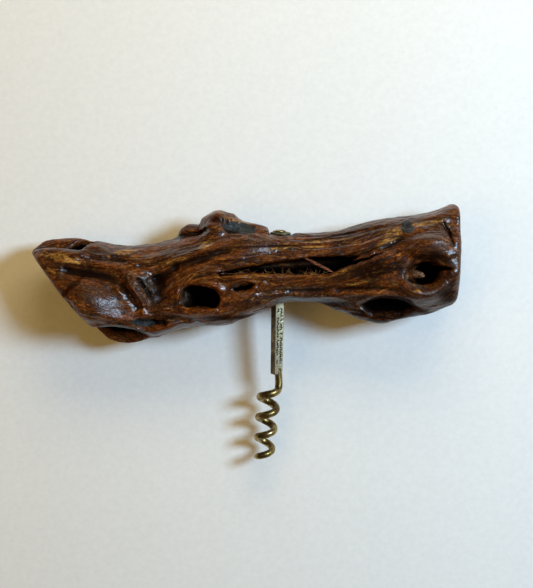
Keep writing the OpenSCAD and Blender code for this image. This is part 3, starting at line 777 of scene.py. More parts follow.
# Patches of colour and finish on the front, laid out like FIBROUS and POLISHED above.
COLOUR_PATCHES = {
    "golden": [
        (-94, 4.4, 6, 1.9, -6), (-88, 2.4, 5, 1.4, -14), (-64, 6.4, 5, 1.3, 5), (46.4, 14.6, 6.6, 1.9, 30),
        (57.4, -8.0, 1.8, 0.8, 0), (-31, 9.6, 3.5, 1.8, 20), (-95.6, -1.7, 3.6, 0.6, -36),
        (27, -0.2, 9, 0.8, 20), (-12, -3.0, 14, 0.6, 2), (61, 20.4, 7, 0.8, 8), (-61, -2.6, 2.0, 1.0, -20),
        (-17, 20.4, 6, 0.7, -16), (-28, 24, 3, 0.7, 20), (8, 9.4, 14, 0.8, 3), (18, 12.4, 12, 0.6, 6),
        (36, -4.4, 8, 0.7, 14), (-42, 3.2, 7, 1.0, 20)],
    "orange": [
        (-33, 0.4, 9, 1.2, 20), (-46, -8.4, 3, 4, 50), (-38, -18.6, 12, 1.5, -2), (-22, -10, 3, 4, 20),
        (-67, -21.2, 9, 1.5, 3), (-56, -18.6, 1.2, 3, 0), (46, 5.2, 7, 2.2, 30), (-15, -4.6, 8, 0.8, 4),
        (14, -4.6, 12, 1.2, 0), (46, -5.0, 8, 1.2, -4), (74, -7, 1.6, 4, 0), (72.5, 20, 1.5, 5, -8),
        (-74, -5.4, 12, 0.9, -10), (-61, -2.0, 3, 2, 0), (-20, 5.4, 8, 1.2, 12), (-13, -10.6, 6, 1.2, 4),
        (-70, 1.0, 8, 2.0, -4), (57.4, -8.0, 2.8, 1.4, 0), (-55, 7, 8, 2, 10), (-41, -5, 3, 3, 40),
        (12, 13.4, 10, 0.8, 2), (-29.5, 20, 1.4, 2, 0)],
    # grey, unvarnished bark
    "bark": [
        (-61.4, -6.0, 2.6, 4.2, 20), (-38.8, -12.4, 1.6, 4.0, 0), (-17.0, -8.2, 1.8, 0.9, 12),
        (-55.5, -23.0, 6.0, 1.1, 2), (-60.6, -8.0, 2.6, 3.4, 25), (-57.4, -12.6, 1.6, 3.4, 36),
        (53.6, -3.4, 1.0, 2.4, 20), (58, -5.8, 3.4, 0.7, -12), (-23.4, 20.6, 1.4, 1.6, 0),
        (26, 7.4, 1.2, 1.0, 0), (-54.2, -9.2, 2.2, 6.0, 12), (-56.6, -6.0, 2.0, 2.4, 0)],
    # painted shade in furrows and creases, which takes the gloss away too
    "shade": [
        (-48, -5.0, 5.0, 2.8, 40), (40, 0.6, 12, 5, 10), (46, -17.5, 14, 3.4, 0), (-66, -28.5, 10, 3.0, 0),
        (-50.4, -11, 2.6, 4.0, 0), (71, -9, 5, 4, 0), (36, -7.0, 14, 1.0, 0), (36, 8.2, 9, 1.0, 12),
        (-88.6, -11.2, 1.2, 17, -43), (61, 6.4, 8, 1.2, 0), (-27.0, 20.8, 3, 1.6, 0),
        (71.6, 15.4, 0.9, 3, -4), (-80, -2.8, 12, 1.3, -8), (-35, 4.4, 10, 1.0, 20),
        (-20, -20.4, 16, 1.4, 3), (16, -14.6, 16, 1.4, 3), (58, -15.6, 8, 1.4, -12), (0, 10, 20, 0.5, 3),
        (28, 15.8, 18, 0.6, 12), (-88, 11, 12, 2.6, 3), (37.6, -17.4, 3.6, 2.6, 0), (46, -18.6, 9, 1.4, 0),
        (-88.5, -1.0, 4.5, 1.5, -12)],
    # darker, redder patches, where crests are not painted light
    "deep": [
        (38, -0.5, 10, 4.4, 14), (60, -10, 15, 4.6, -6), (70, -6, 6, 12, 0), (46, -17, 16, 6.5, 0),
        (66, 5.2, 8, 2.4, 0), (-50, -8, 3.5, 8, 0), (10, -11.5, 20, 3.0, 2), (-66, -28, 11, 3.4, 0),
        (66, 17, 7, 4, 0), (-16, 3.2, 12, 1.4, 8), (-80, -3.4, 12, 1.6, -8), (46, -20, 14, 4, 0),
        (52, 2, 7, 3, 20)],
    # painted sheen: violet-grey where the varnish reflects the cool window
    "violet_sheen": [
        (8, -12, 22, 1.6, 2), (30, -11.5, 14, 1.8, 2), (-40, -23, 14, 1.4, 0), (-80, 5.8, 10, 0.9, 0),
        (-74, -14.0, 9, 4.0, -31), (66, 9, 8, 3.0, -8), (-66, -25, 8, 0.9, -8), (14, 15.4, 20, 1.2, 0),
        (32, 18, 10, 1.6, 16), (60, -12, 9, 1.6, 0), (-8, 8.6, 8, 2.6, 24), (62, -7.4, 7, 0.9, 0)],
    # hollows that still catch the light, where the painted deep shade is held back
    "glow": [
        (55.6, 0.6, 3.2, 3.2, -20), (-38.8, -12.0, 2.4, 4.2, 0), (46, -19.6, 12, 2.4, 0),
        (2, 2.8, 16, 1.4, 4)],
}


def patches(points, spots):
    """How strongly each point of the front lies in any of the patches, from 0 to 1."""
    total = np.zeros(len(points))
    for cx, cy, half_w, half_h, turn in spots:
        cx, cy = on_front([(cx, cy)])[0]
        c, s = math.cos(math.radians(turn)), math.sin(math.radians(turn))
        dx, dy = points[:, 0] - cx, points[:, 1] - cy
        across = ((dx * c + dy * s) / half_w) ** 2 + ((dy * c - dx * s) / half_h) ** 2
        total = np.maximum(total, np.exp(-across ** 1.5))
    return total * smoothstep(-6.0, 2.0, points[:, 2])


def set_floats(mesh, name, values):
    """Stores one number per point for the materials to read."""
    mesh.attributes.new(name, "FLOAT", "POINT").data.foreach_set("value", values.astype(np.float32))


def set_vectors(mesh, name, values):
    data = mesh.attributes.new(name, "FLOAT_VECTOR", "POINT").data
    data.foreach_set("vector", values.astype(np.float32).ravel())


def sawn_share(points, normals):
    """1 on the two sawn ends."""
    right = smoothstep(0.80, 0.97, normals[:, 0]) * (points[:, 0] > 72.0)
    cut = math.radians(43)
    facing = -normals[:, 0] * math.cos(cut) - normals[:, 1] * math.sin(cut)
    left = smoothstep(0.84, 0.97, facing) * (points[:, 0] < -60.0)
    return np.maximum(right, left)


def build_handle():
    """Sculpts the root. Returns its field, and its skin as points, faces and normals."""
    clay = Clay(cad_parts["handle"])
    filled, filled_low, filled_cell = clay.closed(5.0)
    sculpt_handle(clay)
    points, quads = clay.to_mesh()
    points, quads = largest_shell(points.astype(float), quads.astype(np.int64))
    normals = vertex_normals(points, quads)
    outer = clay.sample(clay.field, points + normals * 0.4)
    inner = clay.sample(clay.field, points - normals * 0.4)
    if (outer > inner).mean() < 0.5:
        quads = quads[:, ::-1]
        normals = -normals
    # How hollow each point lies, from the blurred field: the wood material paints crests light and hollows
    # dark by it.
    hollow = -clay.sample(clay.blurred(1.6), points)
    # How far each point lies below the skin with its hollows filled: the wood material paints shade by it.
    depth = -clay.sample(filled, points, filled_low, filled_cell)
    grain = grain_space(points)
    sawn = sawn_share(points, normals)
    fibrous = patches(points, FIBROUS)
    polished = patches(points, POLISHED)
    relief = grain_relief(grain, fibrous, polished) * (1.0 - 0.85 * sawn)
    away = points[:, 2] - points[:, 1] * math.tan(SHANK_DIP)
    in_bore = (np.hypot(points[:, 0], away) < BORE_R + 0.5) & (points[:, 1] < SEAT + 1.0)
    relief = relief * np.where(in_bore, 0.1, 1.0)
    points = points + normals * relief[:, None]
    piece = new_piece("vine_root_handle", points, quads, wood_material())
    mesh = piece.data
    set_vectors(mesh, "grain", grain)
    set_floats(mesh, "hollow", hollow)
    set_floats(mesh, "depth", depth)
    set_floats(mesh, "fibrous", fibrous)
    set_floats(mesh, "polished", polished)
    set_floats(mesh, "sawn", sawn)
    for name, spots in COLOUR_PATCHES.items():
        set_floats(mesh, name, patches(points, spots))
    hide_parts("handle")
    return clay, points, quads, normals


# --- Bark and dead knots, laid on the sculpted skin ---

def skin_flake(name, skin, centre, half_size, turn, rise, edge, material, node, seed):
    """A thin shell over part of the front: irregular outline, raised by rise, closed underneath."""
    points, quads, normals = skin
    c, s = math.cos(math.radians(turn)), math.sin(math.radians(turn))
    dx, dy = points[:, 0] - centre[0], points[:, 1] - centre[1]
    along, across = (dx * c + dy * s) / half_size[0], (dy * c - dx * s) / half_size[1]
    reach = np.hypot(along, across) + edge * layered_noise(points / 1.7, seed, 2)
    near = (reach < 1.0) & (normals[:, 2] > 0.05)
    near &= np.abs(points[:, 2] - centre[2]) < 7.0
    chosen = quads[near[quads].all(axis=1)]
    used = np.unique(chosen)
    index = np.full(len(points), -1)
    index[used] = np.arange(len(used))
    chosen = index[chosen]
    height = rise * np.clip((1.0 - reach[used]) * 3.0, 0.0, 1.0) ** 0.6
    height = height * (1.0 + 0.45 * layered_noise(points[used] / np.array([1.6, 0.8, 0.8]), seed + 1, 2))
    top = points[used] + normals[used] * (0.03 + height)[:, None]
    bottom = points[used] - normals[used] * 0.7
    count = len(used)
    directed = {(int(quad[i]), int(quad[(i + 1) % 4])): True for quad in chosen for i in range(4)}
    rim = [(a, b) for a, b in directed if (b, a) not in directed]
    faces = [tuple(int(i) for i in quad) for quad in chosen]
    faces += [tuple(int(i) + count for i in quad[::-1]) for quad in chosen]
    faces += [(b, a, a + count, b + count) for a, b in rim]
    piece = new_piece(name, np.vstack([top, bottom]), faces, material)
    local = np.stack([dx[used] * c + dy[used] * s, dy[used] * c - dx[used] * s, reach[used]], axis=1)
    set_vectors(piece.data, "place", np.vstack([local, local]))
    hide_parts(node)
    return piece


def shell_middles(node):
    """The middle of each separate solid of a CAD node, in mm, from left to right."""
    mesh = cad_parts[node].data
    points = np.array([v.co[:] for v in mesh.vertices]) / MM
    _, merged = np.unique(np.round(points, 3), axis=0, return_inverse=True)
    merged = merged.ravel()
    parent = np.arange(merged.max() + 1)
    for _ in range(200):
        before = parent.copy()
        for edge in mesh.edges:
            a, b = merged[edge.vertices[0]], merged[edge.vertices[1]]
            low = min(parent[a], parent[b])
            parent[a] = low
            parent[b] = low
        if np.array_equal(before, parent):
            break
    labels = parent[merged]
    groups = [points[labels == label] for label in np.unique(labels)]
    return sorted([((g.min(0) + g.max(0)) / 2).tolist() for g in groups])


def build_bark(skin):
    lower, upper = shell_middles("bark_remnants")
    look = bark_material()
    skin_flake("bark_flake_upper", skin, upper, (7.4, 2.5), -9, 0.26, 0.12, look,
               "bark_remnants", 61)
    skin_flake("bark_flake_lower", skin, lower, (5.0, 1.6), -3, 0.22, 0.2, look, "bark_remnants", 67)


def build_dead_knots(skin):
    """The flat knot in the upper strand, and the tapering twig stub in the knot hole."""
    plug = max(shell_middles("dead_knots"), key=lambda middle: middle[1])
    look = dead_knot_material()
    plug = [plug[0] - 0.8, plug[1] + 0.8, plug[2]]  # the sculpted strand lies a little to the upper left
    skin_flake("dead_knot_plug", skin, plug, (2.6, 2.3), 20, 0.10, 0.42, look, "dead_knots", 71)
    along = np.linspace(0.0, 1.0, 30)
    start, end = np.array([53.6, -0.9, 8.4]), np.array([60.6, -1.3, 9.4])
    centres = start + (end - start) * along[:, None]
    centres[:, 1] += 0.25 * np.sin(along * 5.0)
    radii = np.interp(along, [0.0, 0.12, 0.4, 0.75, 0.93, 1.0], [0.9, 1.35, 1.55, 1.40, 0.95, 0.30])
    points, faces = sweep(centres, radii, 32, flat=0.85, seed=5, rough=0.40)
    piece = new_piece("dead_knot_stub", points, faces, stub_material())
    set_vectors(piece.data, "place", points)
    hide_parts("dead_knots")


# --- Sliver and root hairs in the split ---

def build_sliver():
    """A torn splinter: four strands of fibre, ridged along their length and frayed at both ends."""
    start, end = np.array([10.4, 5.0, 12.0]), np.array([22.8, -0.9, 12.1])
    run = end - start
    # sideways shift, radius, share missing at the start and at the end, seed
    strands = [
        ((0, 0, 0), 0.50, 0.0, 0.0, 1),
        ((0.1, 0.26, 0.18), 0.30, 0.05, 0.14, 2),
        ((-0.1, -0.24, 0.14), 0.26, 0.16, 0.03, 3),
        ((0.0, 0.10, -0.28), 0.28, 0.08, 0.08, 4),
    ]
    shells = []
    for shift, size, lead, tail, seed in strands:
        along = np.linspace(lead, 1.0 - tail, 40)
        centres = start + run * along[:, None] + np.array(shift)
        centres[:, 2] += 0.25 * np.sin(along * 3.1)
        taper = np.clip((along - lead) * 9.0, 0.12, 1.0) * np.clip((1.0 - tail - along) * 7.0, 0.10, 1.0)
        shells.append(sweep(centres, size * taper, 16, flat=0.8, seed=seed, rough=0.35))
    points, faces = join_shells(shells)
    piece = new_piece("torn_sliver", points, faces, sliver_material())
    along = run / np.linalg.norm(run)
    place = points @ along
    set_vectors(piece.data, "place", np.stack([place, points[:, 1], points[:, 2]], axis=1))
    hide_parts("bridging_sliver")


def surface_height(clay, x, y):
    """Height of the front skin at a spot, in mm."""
    z = np.arange(17.0, -12.0, -0.3)
    line = np.stack([np.full_like(z, x), np.full_like(z, y), z], axis=1)
    inside = clay.sample(clay.field, line) < 0.0
    return z[np.argmax(inside)] if inside.any() else 0.0


def build_root_hairs(clay):
    """Hair-thin torn fibres along the lower edge of the split."""
    rng = np.random.default_rng(12)
    hairs, steps = 90, 12
    shells = []
    for _ in range(hairs):
        x = rng.uniform(-20.0, 18.0)
        y = -2.3 + 0.5 * rng.random()
        length = rng.uniform(1.5, 5.5)
        turn = rng.uniform(-0.2, 1.3)
        bend = rng.uniform(-1.2, 1.2)
        base = surface_height(clay, x, y) - 0.25
        t = np.linspace(0.0, 1.0, steps)
        angle = turn + bend * t
        step = length / (steps - 1)
        path = np.zeros((steps, 3))
        path[:, 0] = x + np.cumsum(np.cos(angle)) * step * rng.choice([-1.0, 1.0])
        path[:, 1] = y + np.cumsum(np.sin(angle)) * step * 0.6
        path[:, 2] = base + 0.4 * np.sin(t * 3.0) * rng.uniform(0.2, 1.6) - 0.3 * t
        radii = rng.uniform(0.06, 0.12) * np.clip(1.2 - t, 0.3, 1.0)
        shells.append(sweep(path, radii, 6))
    points, faces = join_shells(shells)
    new_piece("root_hairs", points, faces, hair_material())


# --- Worm, tang and washer ---

def from_worm(x, y, v):
    """Frame position of a point x to the right, y towards the viewer and v down the shank."""
    c, s = math.cos(SHANK_DIP), math.sin(SHANK_DIP)
    return np.stack([x + 0.0 * v, -y * s - v * c, y * c - v * s], axis=-1)


# Sizes of the worm, in mm. Places along it are measured down the shank from the bore's middle.
SHANK_TURN = math.radians(29)
SHANK_TOP, SHOULDER = -7.6, 44.5
SHANK_SIDE, SHANK_END_SIDE = 4.3, 3.8
MARK_START, MARK_END, MARK_PITCH = 16.0, 39.7, 0.96
WIRE_X = 0.64                     # the wire leaves the shoulder this far to the right
COIL_START, COIL_PITCH, COIL_TURNS = 50.3, 8.75, 3.5
COIL_R, COIL_END_R = 3.7, 3.3
WIRE_R, WIRE_END_R = 1.65, 1.4
COIL_LEAN, COIL_SKEW = math.radians(3.9), math.radians(6.0)


def punch_marks(t, v):
    """Depth of the two rows of punched dashes on the right-hand face of the shank."""
    depth = np.zeros_like(v)
    for column, t0 in enumerate((-0.85, 0.75)):
        row = np.floor((v - MARK_START) / MARK_PITCH)
        key = np.stack([row, np.full_like(row, column), 0.0 * row], axis=-1)
        key = key.astype(np.int64).astype(np.uint32)
        lean = (hash_noise(key, 3) - 0.5) * 2.4
        shift = (hash_noise(key, 4) - 0.5) * 0.3
        dv = v - MARK_START - (row + 0.5) * MARK_PITCH
        dt = t - t0 - shift
        along = dt * np.cos(lean) + dv * np.sin(lean)
        across = dv * np.cos(lean) - dt * np.sin(lean)
        mark = np.exp(-(across / 0.26) ** 2 - (along / 0.62) ** 4)
        depth = np.maximum(depth, mark * (hash_noise(key, 5) > 0.1))
    first = smoothstep(MARK_START - 0.4, MARK_START + 0.6, v)
    return depth * first * smoothstep(MARK_END + 0.9, MARK_END - 0.9, v)


def square_ring(v, sides_per_face=22, corner=0.24):
    """One ring of the square shank, its punch marks, and how pale each point is painted: the right-hand
    face pale, as worn plating and as painted light, the other faces dark, as painted shade.
    """
    share = np.clip((v - SHANK_TOP) / (SHOULDER - SHANK_TOP), 0.0, 1.0)
    half = (SHANK_SIDE + (SHANK_END_SIDE - SHANK_SIDE) * share) / 2.0
    ring, marks, worn_and_lit = [], [], []
    for face in range(4):
        normal = math.pi / 2 * face + math.pi / 2 - SHANK_TURN
        n = np.array([math.cos(normal), math.sin(normal)])
        side = np.array([-n[1], n[0]])
        t = np.linspace(-half + corner, half - corner, sides_per_face)
        mark = punch_marks(t, np.full_like(t, v)) if face == 0 else np.zeros_like(t)
        dish = 0.05 * np.cos(t / half * 1.5)
        ring.append((half - dish - 0.07 * mark)[:, None] * n + t[:, None] * side)
        marks.append(mark)
        # Painted light: the right-hand face, turned to the window, is painted pale, the other faces are
        # painted dark brown as their shaded sides, and the corners fall in between.
        worn_and_lit += [1.0 if face == 0 else 0.0] * sides_per_face + [0.5] * 4
        turn = np.linspace(0.0, math.pi / 2, 6)[1:-1]
        middle = (half - corner) * (n + side)
        ring.append(middle + corner * (np.cos(turn)[:, None] * n + np.sin(turn)[:, None] * side))
        marks.append(np.zeros(4))
    return np.vstack(ring), np.concatenate(marks), np.array(worn_and_lit)


def shank_shell():
    """The square shank, the depth of its punch marks, and where it is painted pale: worn plating and
    painted light on the right-hand face.
    """
    rings, marks = [], []
    fine_from = MARK_START - 0.6
    hidden = np.arange(SHANK_TOP, fine_from, 1.2)
    for v in np.concatenate([hidden, np.arange(fine_from, SHOULDER - 0.35, 0.22)]):
        flat, mark, worn_and_lit = square_ring(v)
        rings.append(from_worm(flat[:, 0], flat[:, 1], np.full(len(flat), v)))
        marks.append(mark)
    for inset, beyond in [(0.02, -0.35), (0.12, -0.15), (0.35, 0.0), (1.0, 0.12), (1.5, 0.14)]:
        flat, mark, worn_and_lit = square_ring(SHOULDER - 0.4)
        flat = flat * (1.0 - inset / 1.8)
        flat[:, 0] += WIRE_X * smoothstep(0.2, 1.2, inset)
        rings.append(from_worm(flat[:, 0], flat[:, 1], np.full(len(flat), SHOULDER + beyond)))
        marks.append(mark * 0.0)
    rings = np.array(rings)
    middle = rings.mean(axis=1, keepdims=True)
    forge = 0.035 * layered_noise(rings / np.array([2.5, 5.0, 2.5]), 81, 2)
    out = rings - middle
    out /= np.maximum(np.linalg.norm(out, axis=2, keepdims=True), 1e-6)
    points, faces = closed_tube(rings + out * forge[:, :, None])
    worn_and_lit = np.concatenate([np.tile(worn_and_lit, len(rings)), [0.0, 0.0]])
    return points, faces, np.concatenate([np.concatenate(marks), [0.0, 0.0]]), worn_and_lit


def coil_point(a):
    """Middle of the wire, in worm terms, after turning through a (radians)."""
    share = a / (2.0 * math.pi * COIL_TURNS)
    radius = COIL_R + (COIL_END_R - COIL_R) * share
    v = COIL_PITCH * a / (2.0 * math.pi)
    x = 0.9 - COIL_R - v * math.sin(COIL_LEAN) + radius * np.cos(a)
    skew = radius * np.cos(a) * math.sin(COIL_SKEW)
    return np.stack([x, radius * np.sin(a), COIL_START + v + skew], axis=-1)


def wire_shell():
    """The round wire: a bend out of the shank's end, then the coil, drawn out to a point."""
    lead_turn, step = math.radians(30), 1e-3
    join = coil_point(np.array(lead_turn))
    tangent = coil_point(np.array(lead_turn + step)) - join
    tangent = tangent / np.linalg.norm(tangent) * 9.0
    start, pull = np.array([WIRE_X, 0.0, SHOULDER - 3.0]), np.array([0.0, 0.0, 9.0])
    t = np.linspace(0.0, 1.0, 40)[:-1, None]
    lead = ((2 * t ** 3 - 3 * t ** 2 + 1) * start + (t ** 3 - 2 * t ** 2 + t) * pull
            + (3 * t ** 2 - 2 * t ** 3) * join + (t ** 3 - t ** 2) * tangent)
    a = np.linspace(lead_turn, 2.0 * math.pi * COIL_TURNS, 260)
    path = np.vstack([lead, coil_point(a)])
    share = np.concatenate([np.zeros(len(lead)), (a - a[0]) / (a[-1] - a[0])])
    left = np.concatenate([np.full(len(lead), 9.0), (a[-1] - a) * COIL_R])
    radii = WIRE_R + (WIRE_END_R - WIRE_R) * share
    radii = radii * (0.22 + 0.78 * np.sqrt(np.clip(left / 3.6, 0.0, 1.0)))
    tangents = np.gradient(path, axis=0)
    tangents /= np.linalg.norm(tangents, axis=1, keepdims=True)
    turns = np.concatenate([np.linspace(0.0, lead_turn, len(lead)), a])
    out = np.stack([np.cos(turns), np.sin(turns), 0.0 * turns], axis=1)
    out -= tangents * (out * tangents).sum(axis=1, keepdims=True)
    out /= np.linalg.norm(out, axis=1, keepdims=True)
    cross = np.cross(tangents, out)
    turn = np.linspace(0.0, 2.0 * math.pi, 30, endpoint=False)
    # Forged wire is not quite round: two faint flats run along it.
    shape = 1.0 - 0.035 * np.cos(2.0 * turn + 0.7)
    ring = out[:, None, :] * np.cos(turn)[None, :, None] + cross[:, None, :] * np.sin(turn)[None, :, None]
    rings = path[:, None, :] + radii[:, None, None] * ring * shape[None, :, None]
    rings = rings + 0.045 * layered_noise(rings / 1.9, 83, 2)[:, :, None] * ring
    flat = rings.reshape(-1, 3)
    return closed_tube(from_worm(flat[:, 0], flat[:, 1], flat[:, 2]).reshape(rings.shape))


def turned_shell(profile, sides, shift_x, wobble, seed):
    """Rings of a shape turned about the bore: profile of (radius, height up the bore)."""
    turn = np.linspace(0.0, 2.0 * math.pi, sides, endpoint=False)
    rings = []
    for radius, height in profile:
        x, y = radius * np.cos(turn), radius * np.sin(turn)
        place = np.stack([x, y, np.full_like(x, height)], axis=1)
        grow = 1.0 + wobble * layered_noise(place / 1.7, seed, 2)
        lift = height + 0.5 * wobble * radius * noise(place / 1.3, seed + 5)
        rings.append(from_worm(x * grow + shift_x, y * grow, -lift))
    return rings


def build_worm():
    """One forging: square shank, wire, and the round tang with its peened head."""
    shank_points, shank_faces, marks, worn_and_lit = shank_shell()
    head = [(1.6, 6.8), (1.6, 16.2), (2.6, 16.0), (2.75, 16.2), (2.6, 16.5), (2.1, 16.72), (1.4, 16.85),
            (0.6, 16.9)]
    tang = closed_tube(turned_shell(head, 44, 0.2, 0.06, 87))
    points, faces = join_shells([(shank_points, shank_faces), wire_shell(), tang])
    piece = new_piece("forged_worm", points, faces, worm_material())
    depth = np.zeros(len(points))
    depth[:len(marks)] = marks
    set_floats(piece.data, "punched", depth)
    pale = np.full(len(points), 0.35)
    pale[:len(worn_and_lit)] = worn_and_lit
    set_floats(piece.data, "worn_and_lit", pale)
    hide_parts("worm")


def build_washer():
    """A worn brass washer: dished a little, with an uneven edge."""
    profile = [(2.4, 15.16), (4.1, 15.13), (4.3, 15.3), (4.3, 15.62), (4.12, 15.84), (3.4, 15.98),
               (2.55, 16.0), (2.4, 15.9)]
    sides = 72
    rings = turned_shell(profile, sides, 0.6, 0.035, 91)
    points = np.vstack(rings)
    faces = ring_faces(len(rings), sides)
    last = (len(rings) - 1) * sides
    faces += [(last + j, last + (j + 1) % sides, (j + 1) % sides, j) for j in range(sides)]
    piece = new_piece("brass_washer", points, faces, washer_material())
    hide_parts("rivet_washer")


# --- Materials ---

class Nodes:
    """Short ways to add and join shader nodes."""

    def __init__(self, name):
        self.material = bpy.data.materials.new(name)
        self.material.use_nodes = True
        self.tree = self.material.node_tree
        self.tree.nodes.clear()

    def add(self, kind, inputs=None, **settings):
        node = self.tree.nodes.new(kind)
        for key, value in settings.items():
            setattr(node, key, value)
        for key, value in (inputs or {}).items():
            if isinstance(value, bpy.types.NodeSocket):
                self.tree.links.new(value, node.inputs[key])
            else:
                node.inputs[key].default_value = value
        return node

    def attribute(self, name, output="Fac"):
        return self.add("ShaderNodeAttribute", attribute_name=name).outputs[output]

    def math(self, operation, a, b=0.0, clamp=False):
        return self.add("ShaderNodeMath", {0: a, 1: b}, operation=operation, use_clamp=clamp).outputs[0]

    def range(self, value, low, high, to_low=0.0, to_high=1.0):
        return self.add("ShaderNodeMapRange", {"Value": value, "From Min": low, "From Max": high,
                                               "To Min": to_low, "To Max": to_high}).outputs[0]

    def scaled(self, vector, scale):
        return self.add("ShaderNodeMapping", {"Vector": vector, "Scale": scale}).outputs[0]

    def noise(self, vector, scale, detail=4.0, rough=0.55, distortion=0.0):
        return self.add("ShaderNodeTexNoise", {"Vector": vector, "Scale": scale, "Detail": detail,
                                               "Roughness": rough, "Distortion": distortion}).outputs["Fac"]

    def mix(self, share, a, b, blend="MIX"):
        node = self.add("ShaderNodeMix", data_type="RGBA", blend_type=blend)
        for key, value in ((0, share), (6, a), (7, b)):
            if isinstance(value, bpy.types.NodeSocket):
                self.tree.links.new(value, node.inputs[key])
            else:
                node.inputs[key].default_value = value
        return node.outputs[2]

    def ramp(self, value, stops):
        node = self.add("ShaderNodeValToRGB", {"Fac": value})
        ramp = node.color_ramp
        while len(ramp.elements) < len(stops):
            ramp.elements.new(0.5)
        for element, (place, colour) in zip(ramp.elements, stops):
            element.position = place
            element.color = (*colour, 1.0)
        return node.outputs["Color"]

    def patch(self, name, broken, most):
        """Share of a colour patch, with its edge broken up by a noise."""
        share = self.math("ADD", self.attribute(name), self.range(broken, 0.35, 0.65, -0.55, 0.55))
        return self.math("MULTIPLY", self.range(share, 0.25, 0.75), most)

    def bump(self, height, strength, distance, normal=None):
        inputs = {"Height": height, "Strength": strength, "Distance": distance}
        if normal is not None:
            inputs["Normal"] = normal
        return self.add("ShaderNodeBump", inputs).outputs["Normal"]

    def finish(self, **inputs):
        surface = self.add("ShaderNodeBsdfPrincipled", {k.replace("_", " "): v for k, v in inputs.items()})
        output = self.add("ShaderNodeOutputMaterial")
        self.tree.links.new(surface.outputs[0], output.inputs["Surface"])
        return self.material


def wood_tone(n, grain, flecks):
    """Light and dark of the wood: streaks, flecks and speckle along the grain, calmer in places."""
    streaks = n.noise(n.scaled(grain, (0.10, 0.80, 0.80)), 1.0, 5.0, 0.6, 0.6)
    speckle = n.noise(n.scaled(grain, (1.0, 1.6, 1.6)), 1.0, 2.0, 0.6)
    tone = n.math("ADD", n.math("MULTIPLY", streaks, 0.34), n.math("MULTIPLY", flecks, 0.38))
    tone = n.math("ADD", tone, n.math("MULTIPLY", speckle, 0.28))
    tone = n.range(tone, 0.39, 0.61)
    calm = n.noise(n.scaled(grain, (0.07, 0.20, 0.20)), 1.3, 2.0, 0.5)
    calm = n.math("MAXIMUM", n.range(calm, 0.40, 0.62), n.attribute("polished"))
    return n.math("ADD", n.math("MULTIPLY", tone, n.range(calm, 0.0, 1.0, 1.0, 0.60)),
                  n.range(calm, 0.0, 1.0, 0.0, 0.19))


def wood_colour(n, grain, tone, hollow):
    """Chestnut browns in patches, with dark lines and pores laid over them, crests painted warm as lit and
    hollows painted dark as shaded.
    """
    dark = n.ramp(tone, [(0.08, (0.005, 0.0016, 0.0007)), (0.40, (0.026, 0.0062, 0.0014)),
                         (0.70, (0.066, 0.0165, 0.0028)), (0.95, (0.150, 0.050, 0.009))])
    warm = n.ramp(tone, [(0.08, (0.013, 0.0028, 0.0006)), (0.38, (0.068, 0.0145, 0.0019)),
                         (0.66, (0.165, 0.041, 0.0048)), (0.95, (0.340, 0.125, 0.018))])
    gold = n.ramp(tone, [(0.08, (0.035, 0.011, 0.002)), (0.38, (0.160, 0.064, 0.010)),
                         (0.66, (0.400, 0.190, 0.036)), (0.95, (0.60, 0.36, 0.10))])
    # A painted reflection: the violet-grey sheen of the varnish where it faces the window.
    violet_sheen = n.ramp(tone, [(0.15, (0.010, 0.0042, 0.0034)), (0.55, (0.036, 0.0150, 0.0105)),
                           (0.95, (0.095, 0.048, 0.034))])
    bark = n.ramp(tone, [(0.2, (0.006, 0.0055, 0.0045)), (0.6, (0.052, 0.043, 0.034)),
                         (0.9, (0.15, 0.13, 0.105))])
    deep_red = n.mix(0.45, dark, (0.010, 0.0022, 0.0008, 1.0))

    # Broad patches.
    cloud = n.noise(n.scaled(grain, (0.055, 0.16, 0.16)), 1.0, 3.0, 0.55)
    broken = n.noise(n.scaled(grain, (0.16, 0.55, 0.55)), 1.0, 3.0, 0.6)
    colour = n.mix(n.range(cloud, 0.42, 0.58, 0.0, 0.85), dark, warm)
    colour = n.mix(n.patch("orange", broken, 0.95), colour, warm)
    colour = n.mix(n.patch("deep", broken, 0.85), colour, deep_red)
    colour = n.mix(n.patch("violet_sheen", broken, 0.7), colour, violet_sheen)
    colour = n.mix(n.patch("golden", broken, 0.85), colour, gold)
    dots = n.noise(n.scaled(grain, (0.9, 1.7, 1.7)), 1.3, 1.0, 0.5)
    colour = n.mix(n.range(dots, 0.62, 0.72, 0.0, 0.55), colour, gold)
    colour = n.mix(n.math("MULTIPLY", n.attribute("bark"), 0.9), colour, bark)
    # Painted shade: dark patches in the furrows and creases.
    colour = n.mix(n.patch("shade", broken, 0.8), colour, (0.008, 0.0026, 0.0014, 1.0))

    # Dark lines between fibres, and pores.
    lines = n.noise(n.scaled(grain, (0.045, 1.7, 1.7)), 1.0, 2.0, 0.5)
    lines = n.math("MULTIPLY", n.range(lines, 0.47, 0.40), n.attribute("fibrous"), clamp=True)
    colour = n.mix(n.math("MULTIPLY", lines, 0.85), colour, (0.008, 0.0028, 0.0014, 1.0))
    pores = n.noise(n.scaled(grain, (0.55, 2.2, 2.2)), 1.0, 2.0, 0.5)
    colour = n.mix(n.range(pores, 0.38, 0.30, 0.0, 0.85), colour, (0.004, 0.0018, 0.001, 1.0))

    # Painted highlight: crests painted warm as lit. Painted shade: hollows and furrows darkened.
    painted_crest_light = n.range(hollow, -0.25, -0.80, 0.0, 0.60)
    painted_crest_light = n.math("MULTIPLY", painted_crest_light, n.math("SUBTRACT", 1.0, n.attribute("deep")))
    colour = n.mix(painted_crest_light, colour, warm)
    # Painted shade in the hollows.
    return n.mix(n.range(hollow, 0.10, 0.48, 0.0, 0.85), colour, (0.006, 0.0022, 0.0013, 1.0))


